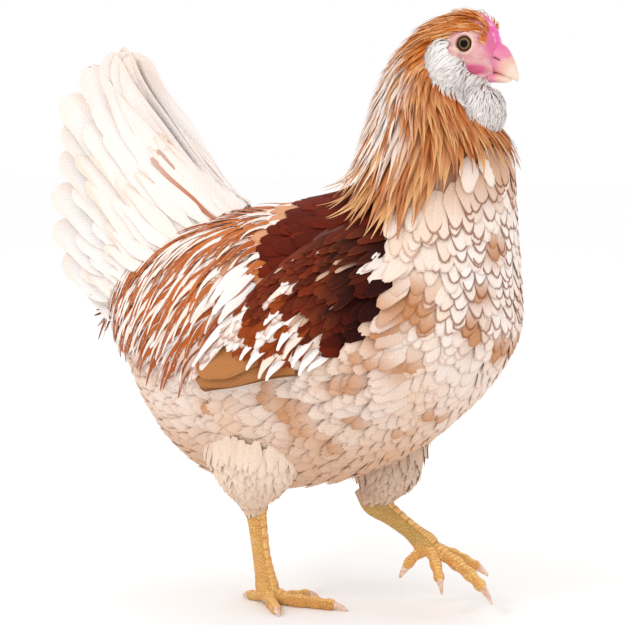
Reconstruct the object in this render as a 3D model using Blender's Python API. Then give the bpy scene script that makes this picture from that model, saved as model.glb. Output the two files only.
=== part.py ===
"""A life-size young hen with muffs, a beard and a pea comb, standing on its right foot with the left one raised.

Each sub-part is one closed solid. Head, neck and trunk are one loft, parted by thin cuts. Wings, thighs, tail,
beard and comb are lofts of their own, trimmed where they lie on it. The hen faces +X and +Y is its left.
The origin is the middle of the standing foot's sole, on the floor. All sizes below are in millimetres.
"""

import bmesh
import bpy
import numpy as np

for old in list(bpy.data.objects):
    bpy.data.objects.remove(old)

MM = 0.001
GAP = 0.35  # between pieces that touch

# The body's middle plane, and the lift of the standing foot's centre, both from the origin.
BODY_X, BODY_Y = 4.0, 13.0

# Body stations from rump to bill, each in the middle plane:
# back x, back z, belly x, belly z, half width, and how high the widest point lies (0 is halfway).
BODY_STATIONS = (
    (-120, 201, -113, 187, 11, 0.0),
    (-114, 217, -108, 166, 27, 0.0),
    (-94, 237, -95, 137, 46, 0.05),
    (-57, 249, -73, 102, 62, 0.12),
    (-21, 257, -38, 79, 70, 0.16),
    (14, 265, 12, 77, 73, 0.14),
    (38, 272, 56, 87, 73, 0.10),
    (49, 276, 100, 109, 71, 0.05),
    (55, 281, 140, 144, 68, 0.0),
    (58, 288, 162, 180, 63, 0.0),
    (61, 297, 163, 215, 56, 0.0),
    (64, 306, 161, 249, 49, 0.0),
    (67, 317, 160, 274, 43, 0.0),
    (71, 330, 158, 297, 40, 0.05),
    (78, 346, 147, 315, 36, 0.10),
    (89, 363, 138, 328, 28, 0.15),
    (104, 377, 138, 334, 21, 0.15),
    (121, 384, 140, 338, 18, 0.10),
    (137, 385, 143, 340, 16.5, 0.0),
    (146, 378, 145, 342, 13.5, 0.0),
    (152, 367, 148, 343, 9, 0.0),
)
NECK_FROM, HEAD_FROM, BODY_END = 10.4, 14.8, len(BODY_STATIONS) - 1
BODY_SIDES = 26

SKIN_YELLOW = (0.72, 0.40, 0.10)
WHITE, CREAM = (0.86, 0.80, 0.76), (0.80, 0.66, 0.54)
ORANGE, MAHOGANY = (0.62, 0.27, 0.08), (0.13, 0.025, 0.012)
COMB_PINK, HORN, CLAW_HORN, EYE_BROWN = (0.75, 0.15, 0.30), (0.78, 0.62, 0.54), (0.70, 0.55, 0.48), (0.12, 0.06, 0.03)


# ---------------------------------------------------------------- shapes

def smooth(rows, at):
    """A Catmull-Rom curve through the rows, read at places counted in rows."""
    rows = np.asarray(rows, float)
    at = np.atleast_1d(np.asarray(at, float))
    start = np.clip(at.astype(int), 0, len(rows) - 2)
    f = (at - start)[:, None]
    padded = np.vstack([2 * rows[0] - rows[1], rows, 2 * rows[-1] - rows[-2]])
    a, b, c, d = (padded[start + k] for k in range(4))
    return 0.5 * (2 * b + (c - a) * f + (2 * a - 5 * b + 4 * c - d) * f**2 + (3 * b - a - 3 * c + d) * f**3)


def unit(vectors):
    return vectors / np.maximum(np.linalg.norm(vectors, axis=-1, keepdims=True), 1e-9)


def profile_rings(stations, places, sides):
    """Closed rings between an upper and a lower line in the middle plane, as wide as each station says."""
    rows = smooth(stations, places)
    top, low = rows[:, 0:2], rows[:, 2:4]
    middle, half = (top + low) / 2, (top - low) / 2
    turn = np.arange(sides) / sides * 2 * np.pi
    up = np.cos(turn)[None, :] + rows[:, 5:6] * np.sin(turn)[None, :] ** 2
    rings = np.zeros((len(rows), sides, 3))
    rings[:, :, 0] = middle[:, :1] + half[:, :1] * up
    rings[:, :, 2] = middle[:, 1:] + half[:, 1:] * up
    rings[:, :, 1] = rows[:, 4:5] * np.sin(turn)[None, :]
    return rings


def tube_rings(path, radii, sides, up=(0, 0, 1)):
    """Closed rings across a path. radii holds (sideways, upwards) for each point of the path."""
    path, radii = np.asarray(path, float), np.asarray(radii, float)
    along = unit(np.gradient(path, axis=0))
    side = unit(np.cross(np.asarray(up, float), along))
    high = np.cross(along, side)
    turn = np.arange(sides) / sides * 2 * np.pi
    across = side[:, None] * (radii[:, :1] * np.cos(turn))[..., None]
    return path[:, None] + across + high[:, None] * (radii[:, 1:] * np.sin(turn))[..., None]


def lens_rings(count, sides):
    """Heights and circle points of a ball's rings, without its two poles."""
    polar = np.pi * (np.arange(count) + 0.5) / count
    turn = np.arange(sides) / sides * 2 * np.pi
    return np.stack(
        [
            np.sin(polar)[:, None] * np.cos(turn),
            np.sin(polar)[:, None] * np.sin(turn),
            np.repeat(-np.cos(polar)[:, None], sides, 1),
        ],
        axis=-1,
    )


def loft(rings):
    """A bmesh skinned over the rings, closed by a flat cap at each end, its faces pointing out."""
    count, sides = rings.shape[:2]
    made = bmesh.new()
    points = [[made.verts.new(p) for p in ring] for ring in rings.tolist()]
    for i in range(count - 1):
        for k in range(sides):
            n = (k + 1) % sides
            made.faces.new((points[i][k], points[i][n], points[i + 1][n], points[i + 1][k]))
    made.faces.new(points[0][::-1])
    made.faces.new(points[-1])
    bmesh.ops.recalc_face_normals(made, faces=made.faces)
    return made


def grow(made, by):
    """Moves every face of the bmesh out by the same distance."""
    made.normal_update()
    moves = [vert.normal * by * min(vert.calc_shell_factor(), 2.0) for vert in made.verts]
    for vert, move in zip(made.verts, moves):
        vert.co += move
    return made


# ---------------------------------------------------------------- objects

def material_of(name, colour, roughness):
    found = bpy.data.materials.get(name)
    if found:
        return found
    made = bpy.data.materials.new(name)
    made.use_nodes = True
    shader = made.node_tree.nodes["Principled BSDF"]
    shader.inputs["Base Color"].default_value = (*colour, 1)
    shader.inputs["Roughness"].default_value = roughness
    return made


def add(name, made, finish=None, cutter=False):
    """Makes the bmesh an object of the model, or a hidden cutter."""
    bmesh.ops.translate(made, verts=made.verts, vec=(BODY_X, BODY_Y, 0))
    bmesh.ops.scale(made, verts=made.verts, vec=(MM, MM, MM))
    mesh = bpy.data.meshes.new(name)
    made.to_mesh(mesh)
    made.free()
    thing = bpy.data.objects.new(name, mesh)
    bpy.context.collection.objects.link(thing)
    if cutter:
        thing.hide_render = True
        thing.display_type = "WIRE"
        return thing
    mesh.shade_smooth()
    mesh.materials.append(material_of(*finish))
    return thing


def combine(thing, operation, *others):
    for other in others:
        step = thing.modifiers.new(operation.lower() + "_" + other.name, "BOOLEAN")
        step.operation = operation
        step.object = other
        step.solver = "EXACT"
    return thing


# ---------------------------------------------------------------- trunk, neck and head

def body_piece(start, end, rings, shift):
    """The body's loft from one station to another. shift moves its first ring along, to leave a thin cut."""
    made = profile_rings(BODY_STATIONS, np.linspace(start, end, rings), BODY_SIDES)
    across = np.cross(made[0, BODY_SIDES // 4] - made[0, 0], made[0, BODY_SIDES // 2] - made[0, 0])
    along = unit(across) * np.sign(across @ (made[1].mean(0) - made[0].mean(0)))
    made[0] += along * shift
    return loft(made)


FEATHERED = 0.85
# Each piece's first and last station, its rings, and how far its first ring is moved along.
SPANS = {
    "trunk": (0, NECK_FROM, 19, 0),
    "neck": (NECK_FROM, HEAD_FROM, 9, GAP),
    "head": (HEAD_FROM, BODY_END, 11, GAP),
}
add("trunk", body_piece(*SPANS["trunk"]), ("plumage_white", WHITE, FEATHERED))
add("neck", body_piece(*SPANS["neck"]), ("plumage_orange", ORANGE, FEATHERED))
head = add("head", body_piece(*SPANS["head"]), ("plumage_orange", ORANGE, FEATHERED))
trunk_cutter, neck_cutter, head_cutter = (
    add("cut_" + name, grow(body_piece(*span), GAP), cutter=True) for name, span in SPANS.items()
)


# ---------------------------------------------------------------- eyes

EYE_CENTRE, EYE_RADIUS = np.array((133.5, 12.6, 365.0)), 5.6
EYE_RINGS, EYE_SIDES = 8, 12


def ball(centre, radii, rings, sides):
    return loft(centre + lens_rings(rings, sides) * np.asarray(radii, float))


for side, sign in (("right", -1), ("left", 1)):
    centre = EYE_CENTRE * (1, sign, 1)
    add("eye_" + side, ball(centre, (EYE_RADIUS,) * 3, EYE_RINGS, EYE_SIDES), ("eye", EYE_BROWN, 0.1))
    socket = add("cut_eye_" + side, grow(ball(centre, (EYE_RADIUS,) * 3, EYE_RINGS, EYE_SIDES), GAP), cutter=True)
    combine(head, "DIFFERENCE", socket)


# ---------------------------------------------------------------- bill and comb

# Each half of the bill in the same terms as the body's stations.
UPPER_BILL = (
    (149, 367, 148, 347.2, 8.6, 0.0),
    (155.6, 363, 152.6, 345.9, 7.4, 0.0),
    (159.6, 357, 157, 343.9, 5.2, 0.0),
    (162.4, 350.6, 160.4, 342.7, 3.2, 0.0),
    (163.7, 345.6, 162.6, 341.7, 1.5, 0.0),
    (163.8, 342.6, 163.3, 341.3, 0.6, 0.0),
)
LOWER_BILL = (
    (146, 346.6, 145.5, 340.6, 6.8, 0.0),
    (152.2, 344.8, 151.4, 340.4, 5.4, 0.0),
    (156.6, 343.2, 156, 340.2, 3.4, 0.0),
    (159.4, 342.2, 159.2, 340.6, 1.3, 0.0),
)
BILL_RINGS, BILL_SIDES = 7, 10


def bill(stations):
    return loft(profile_rings(stations, np.linspace(0, len(stations) - 1, BILL_RINGS), BILL_SIDES))


upper = add("beak_upper", bill(UPPER_BILL), ("horn", HORN, 0.35))
lower = add("beak_lower", bill(LOWER_BILL), ("horn", HORN, 0.35))
upper_cutter = add("cut_upper", grow(bill(UPPER_BILL), GAP), cutter=True)
combine(upper, "DIFFERENCE", head_cutter)
lower_cutter = add("cut_lower", grow(bill(LOWER_BILL), GAP), cutter=True)
combine(lower, "DIFFERENCE", head_cutter, upper_cutter)

# A pea comb is three low beaded ridges: how far out to the side, how far proud, and its beads.
COMB_FROM, COMB_TO, COMB_RINGS, COMB_SIDES = 18.2, 20.0, 12, 6
COMB_RIDGES = ((0.0, 1.9, 2.4, 6), (-3.0, 1.0, 2.0, 5), (3.0, 1.0, 2.0, 5))


def comb_ridge(aside, proud, radius, beads):
    places = np.linspace(COMB_FROM, COMB_TO, COMB_RINGS)
    line = smooth(BODY_STATIONS, places)[:, 0:2]
    along = unit(np.gradient(line, axis=0))
    out = np.stack([-along[:, 1], along[:, 0]], axis=1)
    out = out * np.sign(out[:1, 1])
    line = line + out * proud
    path = np.stack([line[:, 0], np.full(COMB_RINGS, aside), line[:, 1]], axis=1)
    run = np.linspace(0, 1, COMB_RINGS)
    swell = (1 + 0.14 * np.cos(run * beads * 2 * np.pi)) * np.sin(np.pi * (0.12 + 0.76 * run)) ** 0.5
    return loft(tube_rings(path, np.stack([radius * swell] * 2, axis=1), COMB_SIDES, up=(0, 1, 0)))


comb_middle, comb_right, comb_left = (
    add("comb" if not aside else "cut_ridge_%+d" % aside, comb_ridge(aside, proud, radius, beads),
        ("comb", COMB_PINK, 0.5), cutter=bool(aside))
    for aside, proud, radius, beads in COMB_RIDGES
)
combine(comb_middle, "UNION", comb_right, comb_left)
combine(comb_middle, "DIFFERENCE", head_cutter, upper_cutter)


# ---------------------------------------------------------------- beard and muffs

BEARD_CENTRE, BEARD_RADII = np.array((137.0, 0.0, 323.5)), np.array((16.5, 19.0, 19.0))
MUFF_CENTRE, MUFF_RADII = np.array((124.0, 17.5, 350.0)), np.array((12.5, 11.0, 18.5))
BEARD_RINGS, BEARD_SIDES = 8, 14

beard = add("beard", ball(BEARD_CENTRE, BEARD_RADII, BEARD_RINGS, BEARD_SIDES), ("plumage_white", WHITE, FEATHERED))
beard_cutter = add("cut_beard", grow(ball(BEARD_CENTRE, BEARD_RADII, BEARD_RINGS, BEARD_SIDES), GAP), cutter=True)
combine(beard, "DIFFERENCE", head_cutter, neck_cutter, bpy.data.objects["cut_lower"])
for side, sign in (("right", -1), ("left", 1)):
    made = ball(MUFF_CENTRE * (1, sign, 1), MUFF_RADII, BEARD_RINGS, BEARD_SIDES)
    muff = add("muff_" + side, made, ("plumage_white", WHITE, FEATHERED))
    eye_cutter = bpy.data.objects["cut_eye_" + side]
    combine(muff, "DIFFERENCE", head_cutter, neck_cutter, beard_cutter, eye_cutter)


# ---------------------------------------------------------------- tail

# The fan, from its ridge to its lower edge: tip x, tip z, root x, root z, half width at the root, and sag.
TAIL_STATIONS = (
    (-109, 367, -24, 258, 5, 17),
    (-128, 370, -33, 256, 10, 12),
    (-155, 353, -42, 250, 18, 6),
    (-165, 327, -50, 240, 26, 0),
    (-166, 294, -58, 230, 34, 0),
    (-169, 257, -66, 220, 40, 2),
    (-161, 228, -74, 210, 42, 4),
    (-138, 207, -82, 200, 38, 4),
)
TAIL_RINGS, TAIL_SIDES = 15, 20
TAIL_TIP_SHARE = 0.35  # how much of the root's width is left towards the tips


def tail():
    rows = smooth(TAIL_STATIONS, np.linspace(0, len(TAIL_STATIONS) - 1, TAIL_RINGS))
    tip, root = rows[:, None, 0:2], rows[:, None, 2:4]
    turn = (np.arange(TAIL_SIDES) / TAIL_SIDES * 2 * np.pi)[None, :]
    share = (1 + np.cos(turn)) / 2
    sag = (rows[:, 5:6] * 4 * share * (1 - share))[..., None] * unit(np.flip(tip - root, -1) * (-1, 1))
    line = root + (tip - root) * share[..., None] + sag
    wide = rows[:, 4:5] * np.sin(turn) * (1 - (1 - TAIL_TIP_SHARE) * share)
    return loft(np.stack([line[..., 0], wide, line[..., 1]], axis=-1))


combine(add("tail", tail(), ("plumage_white", WHITE, FEATHERED)), "DIFFERENCE", trunk_cutter)


# ---------------------------------------------------------------- wings

# Along the folded wing from shoulder to tip: x, z, half height, and how far it stands off the trunk.
WING_STATIONS = (
    (98, 222, 8, 3),
    (90, 218, 36, 8),
    (66, 211, 53, 10),
    (32, 199, 56, 12),
    (6, 183, 45, 12),
    (-14, 167, 29, 10),
    (-27, 156, 14, 7),
    (-33, 153, 4, 3),
)
WING_LEAN = 24.0  # degrees that the wing's chord leans back from upright
WING_RINGS, WING_SIDES = 13, 20
WING_SINK = 14.0  # how deep the untrimmed wing reaches into the trunk


def trunk_side(x, z):
    """How far the trunk's side stands from the middle plane at each (x, z)."""
    table = profile_rings(BODY_STATIONS, np.linspace(0, 13, 66), 56)[:, :29].reshape(-1, 3)
    apart = (x[..., None] - table[:, 0]) ** 2 + (z[..., None] - table[:, 2]) ** 2
    nearest = np.argsort(apart, axis=-1)[..., :4]
    weight = 1 / (np.take_along_axis(apart, nearest, -1) + 1.0)
    return (table[:, 1][nearest] * weight).sum(-1) / weight.sum(-1)


def wing(sign):
    rows = smooth(WING_STATIONS, np.linspace(0, len(WING_STATIONS) - 1, WING_RINGS))
    turn = (np.arange(WING_SIDES) / WING_SIDES * 2 * np.pi)[None, :]
    lean = np.radians(WING_LEAN)
    x = rows[:, 0:1] + rows[:, 2:3] * np.cos(turn) * np.sin(lean)
    z = rows[:, 1:2] + rows[:, 2:3] * np.cos(turn) * np.cos(lean)
    out = np.where(np.sin(turn) > 0, rows[:, 3:4], WING_SINK) * np.sin(turn)
    return loft(np.stack([x, sign * (trunk_side(x, z) + out), z], axis=-1))


for side, sign in (("right", -1), ("left", 1)):
    folded = add("wing_" + side, wing(sign), ("plumage_mahogany", MAHOGANY, FEATHERED))
    combine(folded, "DIFFERENCE", trunk_cutter, neck_cutter)


# ---------------------------------------------------------------- legs

LEG_SIDES = 12
# For each leg, from the hip down to the foot's joint: x, y, z, half width, half depth. The first rows are
# the feathered thigh and the last are the bare shank.
RIGHT_THIGH = (
    (0, -34, 138, 26, 42),
    (-4, -33, 108, 25, 37),
    (-8, -26, 86, 19, 26),
    (-12, -17, 70, 11, 13),
    (-12, -14, 63, 8.6, 9.6),
)
RIGHT_SHANK = (
    (-12, -14, 63, 6.6, 7.6),
    (-10.5, -13.8, 52, 6.0, 6.6),
    (-8, -13.4, 32, 5.8, 6.3),
    (-5.5, -13, 18, 6.6, 7.2),
    (-4.5, -13, 13, 7.6, 8.4),
)
LEFT_THIGH = (
    (48, 34, 138, 25, 44),
    (56, 33, 110, 24, 38),
    (62, 27, 88, 18, 27),
    (60, 23, 74, 11, 15),
    (58, 22, 68, 8.8, 11.0),
)
LEFT_SHANK = (
    (55, 22, 66, 6.4, 7.6),
    (62, 22, 63, 7.2, 8.6),
    (70, 21.5, 58.5, 6.4, 7.2),
    (83, 20.5, 50.5, 5.8, 6.3),
    (90, 20, 45.6, 6.6, 7.2),
    (93.5, 20, 43, 7.4, 8.2),
)


def limb(rows, rings, up):
    table = smooth(rows, np.linspace(0, len(rows) - 1, rings))
    return loft(tube_rings(table[:, 0:3], table[:, 3:5], LEG_SIDES, up))


# Each toe's heading from straight ahead towards the inside, its root's radius, and the length of each joint.
TOES = {
    "hallux": (155, 4.3, (12, 10)),
    "inner": (54, 4.4, (13, 11, 9)),
    "middle": (0, 4.9, (17, 13, 11, 9)),
    "outer": (-54, 4.4, (12, 9, 8, 7)),
}
# For each toe, how far the whole foot's pose turns it inwards, then how steeply each joint points down.
FLAT_FOOT = {
    "hallux": (0, 22, 8),
    "inner": (0, 20, 2, 0),
    "middle": (0, 14, 4, 0, 0),
    "outer": (0, 20, 2, 0, 0),
}
HANGING_FOOT = {
    "hallux": (3, 36, 52),
    "inner": (-2, 26, 36, 46),
    "middle": (14, 20, 26, 32, 40),
    "outer": (34, 16, 22, 28, 28),
}
CLAW = {"hallux": 8, "inner": 9, "middle": 12, "outer": 9}
CLAW_RADIUS, TOE_SIDES = 2.5, 10
KNUCKLE, PAD = 4.5, 9.6  # from the shank's end to the joint of the toes, and on to the pad under it
FLAT_CLEAR = 0.82  # height of a standing toe's axis over the floor, in its radii
TOE_TAPER = 0.22


def toe_path(name, pose, sign, joint):
    """The toe's axis, from the foot's joint to its end."""
    heading, radius, bones = TOES[name]
    turn = np.radians(heading + pose[name][0])
    steep = np.radians(pose[name][1:])
    ways = np.stack(
        [np.cos(turn) * np.cos(steep), -sign * np.sin(turn) * np.cos(steep), -np.sin(steep)], axis=1
    )
    return np.vstack([joint, joint + np.cumsum(ways * np.array(bones)[:, None], axis=0)])


def toe(points, radius, joints):
    """A toe with a soft pad under each joint and a flat end."""
    run = np.linspace(0, len(points) - 1, 3 * joints + 1)
    path = smooth(points, run)
    swell = radius * (1 - TOE_TAPER * run / run[-1]) * (1 - 0.09 * np.cos(2 * np.pi * run))
    return loft(tube_rings(path, np.stack([swell, swell * 0.96], axis=1), TOE_SIDES))


def claw(points, length):
    """A curved cone that droops from the toe's end."""
    way = unit(points[-1] - points[-2])
    run = np.linspace(0, 1, 6)
    droop = np.array((0, 0, -1.0))
    path = points[-1] + way * GAP * 1.4 + np.outer(run * length, way) + np.outer(run**2 * length * 0.3, droop)
    radii = CLAW_RADIUS * (1 - run) ** 0.6 + 0.45
    return loft(tube_rings(path, np.stack([radii * 0.8, radii], axis=1), 8))


def leg(side, sign, thigh_rows, shank_rows, pose, standing):
    """Thigh, shank, foot and claws of one leg. sign is +1 on the hen's left."""
    ends = np.array(shank_rows[-2:], float)[:, :3]
    joint = ends[1] + unit(ends[1] - ends[0]) * KNUCKLE
    thigh = add("thigh_" + side, limb(thigh_rows, 10, (1, 0, 0)), ("plumage_cream", CREAM, FEATHERED))
    combine(thigh, "DIFFERENCE", trunk_cutter)
    add("shank_" + side, limb(shank_rows, 9, (1, 0, 0)), ("leg_skin", SKIN_YELLOW, 0.5))
    shank_cutter = add("cut_shank_" + side, grow(limb(shank_rows, 9, (1, 0, 0)), GAP), cutter=True)
    combine(thigh, "DIFFERENCE", shank_cutter)
    whole = add("foot_" + side, limb_end(shank_rows, joint), ("leg_skin", SKIN_YELLOW, 0.5))
    for name, (heading, radius, bones) in TOES.items():
        points = toe_path(name, pose, sign, joint)
        if standing:
            low = radius * FLAT_CLEAR * (1 - TOE_TAPER * np.linspace(0, 1, len(points)))
            points[1:, 2] = low[1:]
        combine(whole, "UNION", add("cut_toe_%s_%s" % (name, side), toe(points, radius, len(bones)), cutter=True))
        nail = add("claw_%s_%s" % (name, side), claw(points, CLAW[name]), ("claw", CLAW_HORN, 0.35))
        if standing:
            combine(nail, "DIFFERENCE", floor_cutter)
    combine(whole, "DIFFERENCE", shank_cutter)
    if standing:
        combine(whole, "DIFFERENCE", floor_cutter)


def limb_end(shank_rows, joint):
    """The knuckle between shank and toes: the shank's last ring carried into a ball round the joint."""
    last, before = np.array(shank_rows[-1], float), np.array(shank_rows[-2], float)
    along = unit(last[:3] - before[:3])
    path = np.array([last[:3], (last[:3] + joint) / 2, joint, joint + along * PAD])
    radii = np.array([last[3:5], last[3:5] * 1.04, (8.4, 8.0), (5.4, 5.4)])
    run = np.linspace(0, 3, 7)
    return loft(tube_rings(smooth(path, run), smooth(radii, run), LEG_SIDES, (1, 0, 0)))


def block(low, high):
    made = bmesh.new()
    bmesh.ops.create_cube(made, size=1.0)
    low, high = np.array(low, float), np.array(high, float)
    bmesh.ops.scale(made, verts=made.verts, vec=high - low)
    bmesh.ops.translate(made, verts=made.verts, vec=(low + high) / 2)
    return made


floor_cutter = add("cut_floor", block((-120, -120, -40), (120, 120, 0)), cutter=True)
leg("right", -1, RIGHT_THIGH, RIGHT_SHANK, FLAT_FOOT, True)
leg("left", 1, LEFT_THIGH, LEFT_SHANK, HANGING_FOOT, False)
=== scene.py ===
"""A young bearded hen, life size and walking: its skin, horn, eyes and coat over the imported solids."""

import bpy
import mathutils
import numpy as np
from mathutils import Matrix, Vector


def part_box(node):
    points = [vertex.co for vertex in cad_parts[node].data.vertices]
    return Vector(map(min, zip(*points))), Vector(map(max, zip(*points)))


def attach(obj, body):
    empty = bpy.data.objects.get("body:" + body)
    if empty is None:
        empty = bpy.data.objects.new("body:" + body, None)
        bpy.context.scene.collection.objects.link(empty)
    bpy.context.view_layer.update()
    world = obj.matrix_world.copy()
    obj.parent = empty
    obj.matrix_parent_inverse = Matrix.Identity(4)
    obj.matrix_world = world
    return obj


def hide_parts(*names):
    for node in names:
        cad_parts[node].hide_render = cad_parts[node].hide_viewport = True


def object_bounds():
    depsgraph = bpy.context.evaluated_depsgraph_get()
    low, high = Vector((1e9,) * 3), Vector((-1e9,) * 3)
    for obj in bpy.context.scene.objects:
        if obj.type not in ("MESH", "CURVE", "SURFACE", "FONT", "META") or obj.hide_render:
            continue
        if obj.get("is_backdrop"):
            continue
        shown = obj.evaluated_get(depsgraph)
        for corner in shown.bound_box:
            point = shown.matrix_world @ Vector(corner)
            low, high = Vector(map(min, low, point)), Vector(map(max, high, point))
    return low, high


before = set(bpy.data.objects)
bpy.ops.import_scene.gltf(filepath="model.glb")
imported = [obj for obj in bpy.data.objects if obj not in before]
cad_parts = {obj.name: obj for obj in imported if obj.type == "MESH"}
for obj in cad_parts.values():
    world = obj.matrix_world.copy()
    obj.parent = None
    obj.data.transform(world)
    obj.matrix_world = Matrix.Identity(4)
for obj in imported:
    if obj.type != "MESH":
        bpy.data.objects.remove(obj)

solid_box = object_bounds()


# ------------------------------------------------------------------ camera
# A long lens looks at the hen's right side from the front quarter. It stands about as high over the floor as
# the hen's bill, and tips down slightly.

AIM, AWAY = np.array((0.0268, 0.013, 0.1921)), 1.58
AZIMUTH, ELEVATION = np.radians(25.0), np.radians(5.5)
LENS, SENSOR = 140.0, 36.0
out = np.array((np.sin(AZIMUTH) * np.cos(ELEVATION), -np.cos(AZIMUTH) * np.cos(ELEVATION), np.sin(ELEVATION)))
camera = bpy.data.objects.new("camera", bpy.data.cameras.new("camera"))
camera.data.lens, camera.data.sensor_width = LENS, SENSOR
camera.location = AIM + out * AWAY
camera.rotation_euler = mathutils.Vector(-out).to_track_quat("-Z", "Y").to_euler()
bpy.context.collection.objects.link(camera)
bpy.context.scene.camera = camera


# ------------------------------------------------------------------ skin
# One skin covers the hen from the rump to the bill and down to the toes, with the comb on the brow. It is thin and
# pink at the face, yellow and scaly on shanks and toes, and hidden by the coat everywhere else. It is made of
# smooth forms, each a function of two parameters in millimetres from the middle plane, melted into one surface.

# Rump to bill: back x and z, belly x and z, half width, and how high the widest place lies.
BODY = (
    (-120, 201, -113, 187, 11, 0.0), (-114, 217, -108, 166, 27, 0.0), (-94, 237, -95, 137, 46, 0.05),
    (-57, 249, -73, 102, 62, 0.12), (-21, 257, -38, 79, 70, 0.16), (14, 265, 12, 77, 73, 0.14),
    (38, 272, 56, 87, 73, 0.10), (49, 276, 100, 109, 71, 0.05), (55, 281, 140, 144, 68, 0.0),
    (58, 288, 162, 180, 63, 0.0), (61, 297, 163, 215, 56, 0.0), (64, 306, 161, 249, 49, 0.0),
    (67, 317, 160, 274, 43, 0.0), (71, 330, 158, 297, 40, 0.05), (78, 346, 147, 315, 36, 0.10),
    (89, 363, 138, 328, 28, 0.15), (104, 377, 138, 334, 21, 0.15), (121, 384, 140, 338, 18, 0.10),
    (137, 385, 143, 340, 16.5, 0.0), (146, 378, 145, 342, 13.5, 0.0), (152, 367, 148, 343, 9, 0.0),
)


def smooth(rows, at):
    """Catmull-Rom curve through the rows, read at places counted in rows, for an array of any shape."""
    rows, at = np.asarray(rows, float), np.asarray(at, float)
    start = np.clip(np.floor(at).astype(int), 0, len(rows) - 2)
    f = (at - start)[..., None]
    padded = np.vstack([2 * rows[0] - rows[1], rows, 2 * rows[-1] - rows[-2]])
    a, b, c, d = (padded[start + k] for k in range(4))
    return 0.5 * (2 * b + (c - a) * f + (2 * a - 5 * b + 4 * c - d) * f**2 + (3 * b - a - 3 * c + d) * f**3)


def unit(vectors):
    """Vectors over their own length."""
    return vectors / np.maximum(np.linalg.norm(vectors, axis=-1, keepdims=True), 1e-9)


def step(low, high, value):
    """0 below low, 1 above high, and 3t^2 - 2t^3 between."""
    t = np.clip((value - low) / (high - low), 0, 1)
    return t * t * (3 - 2 * t)


def hull(rows):
    """Middle of back and belly, plus half their distance times cos v + k sin^2 v, and out by width times sin v."""

    def at(u, v):
        row = smooth(rows, u)
        rise = (np.cos(v) + row[..., 5] * np.sin(v) ** 2)[..., None]
        line = (row[..., 0:2] + row[..., 2:4]) / 2 + (row[..., 0:2] - row[..., 2:4]) / 2 * rise
        return np.stack([line[..., 0], row[..., 4] * np.sin(v), line[..., 1]], axis=-1)

    return at


def limb(rows, up=(1.0, 0.0, 0.0)):
    """A tube along x, y, z of the rows, wide across up by the fourth number and along it by the fifth."""

    def at(u, v):
        row, ahead, behind = smooth(rows, u), smooth(rows, u + 0.02), smooth(rows, u - 0.02)
        along = unit((ahead - behind)[..., :3])
        side = unit(np.cross(np.asarray(up, float), along))
        high = np.cross(along, side)
        return row[..., :3] + side * (row[..., 3] * np.cos(v))[..., None] + high * (row[..., 4] * np.sin(v))[..., None]

    return at


def tuft(centre, radii, pole):
    """An ellipsoid. u runs from 0 at the pole, where the feathers root, to pi, and v round it."""
    pole = unit(np.asarray(pole, float))
    side = unit(np.cross(pole, (0.0, 1.0, 0.01)))
    high = np.cross(side, pole)

    def at(u, v):
        across, aside = (np.sin(u) * np.cos(v))[..., None], (np.sin(u) * np.sin(v))[..., None]
        way = pole * np.cos(u)[..., None] + side * across + high * aside
        return np.asarray(centre, float) + way * np.asarray(radii, float)

    return at


def cubic_terms(x, z):
    """All products of powers of x and z up to the third, in tenths of a metre."""
    x, z = x / 100, z / 100
    return np.stack([x**i * z**j for i in range(4) for j in range(4 - i)], axis=-1)


# The trunk's side as a cubic in x and z, so that a wing can lie on it.
body = hull(BODY)
flank_u, flank_v = np.meshgrid(np.linspace(2.5, 9.5, 40), np.linspace(-2.5, -0.55, 40))
flank = body(flank_u, flank_v).reshape(-1, 3)
flank_fit = np.linalg.lstsq(cubic_terms(flank[:, 0], flank[:, 2]), -flank[:, 1], rcond=None)[0]

# A folded wing from shoulder to tip: x, z, half height, and how far it stands off the trunk.
WING = (
    (98, 222, 8, 3), (90, 218, 36, 8), (66, 211, 53, 10), (32, 199, 56, 12),
    (6, 183, 45, 12), (-14, 167, 29, 10), (-27, 156, 14, 7), (-33, 153, 4, 3),
)
WING_LEAN = np.radians(24.0)


def wing(sign):
    """Up from the wing's line by half height times cos v, leaning back, and off the trunk by sin v."""

    def at(u, v):
        row = smooth(WING, u)
        x = row[..., 0] + row[..., 2] * np.cos(v) * np.sin(WING_LEAN)
        z = row[..., 1] + row[..., 2] * np.cos(v) * np.cos(WING_LEAN)
        return np.stack([x, sign * (cubic_terms(x, z) @ flank_fit + row[..., 3] * np.sin(v)), z], axis=-1)

    return at


# Legs from the trunk to the foot's knuckle: x, y, z, and half thickness across and along the walk.
THIGHS = {
    -1: ((0, -34, 138, 26, 42), (-4, -33, 108, 25, 37), (-8, -26, 86, 19, 26), (-12, -17, 70, 11, 13),
         (-12, -14, 63, 8.6, 9.6)),
    1: ((48, 34, 138, 25, 44), (56, 33, 110, 24, 38), (62, 27, 88, 18, 27), (60, 23, 74, 11, 15),
        (58, 22, 68, 8.8, 11.0)),
}
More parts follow.
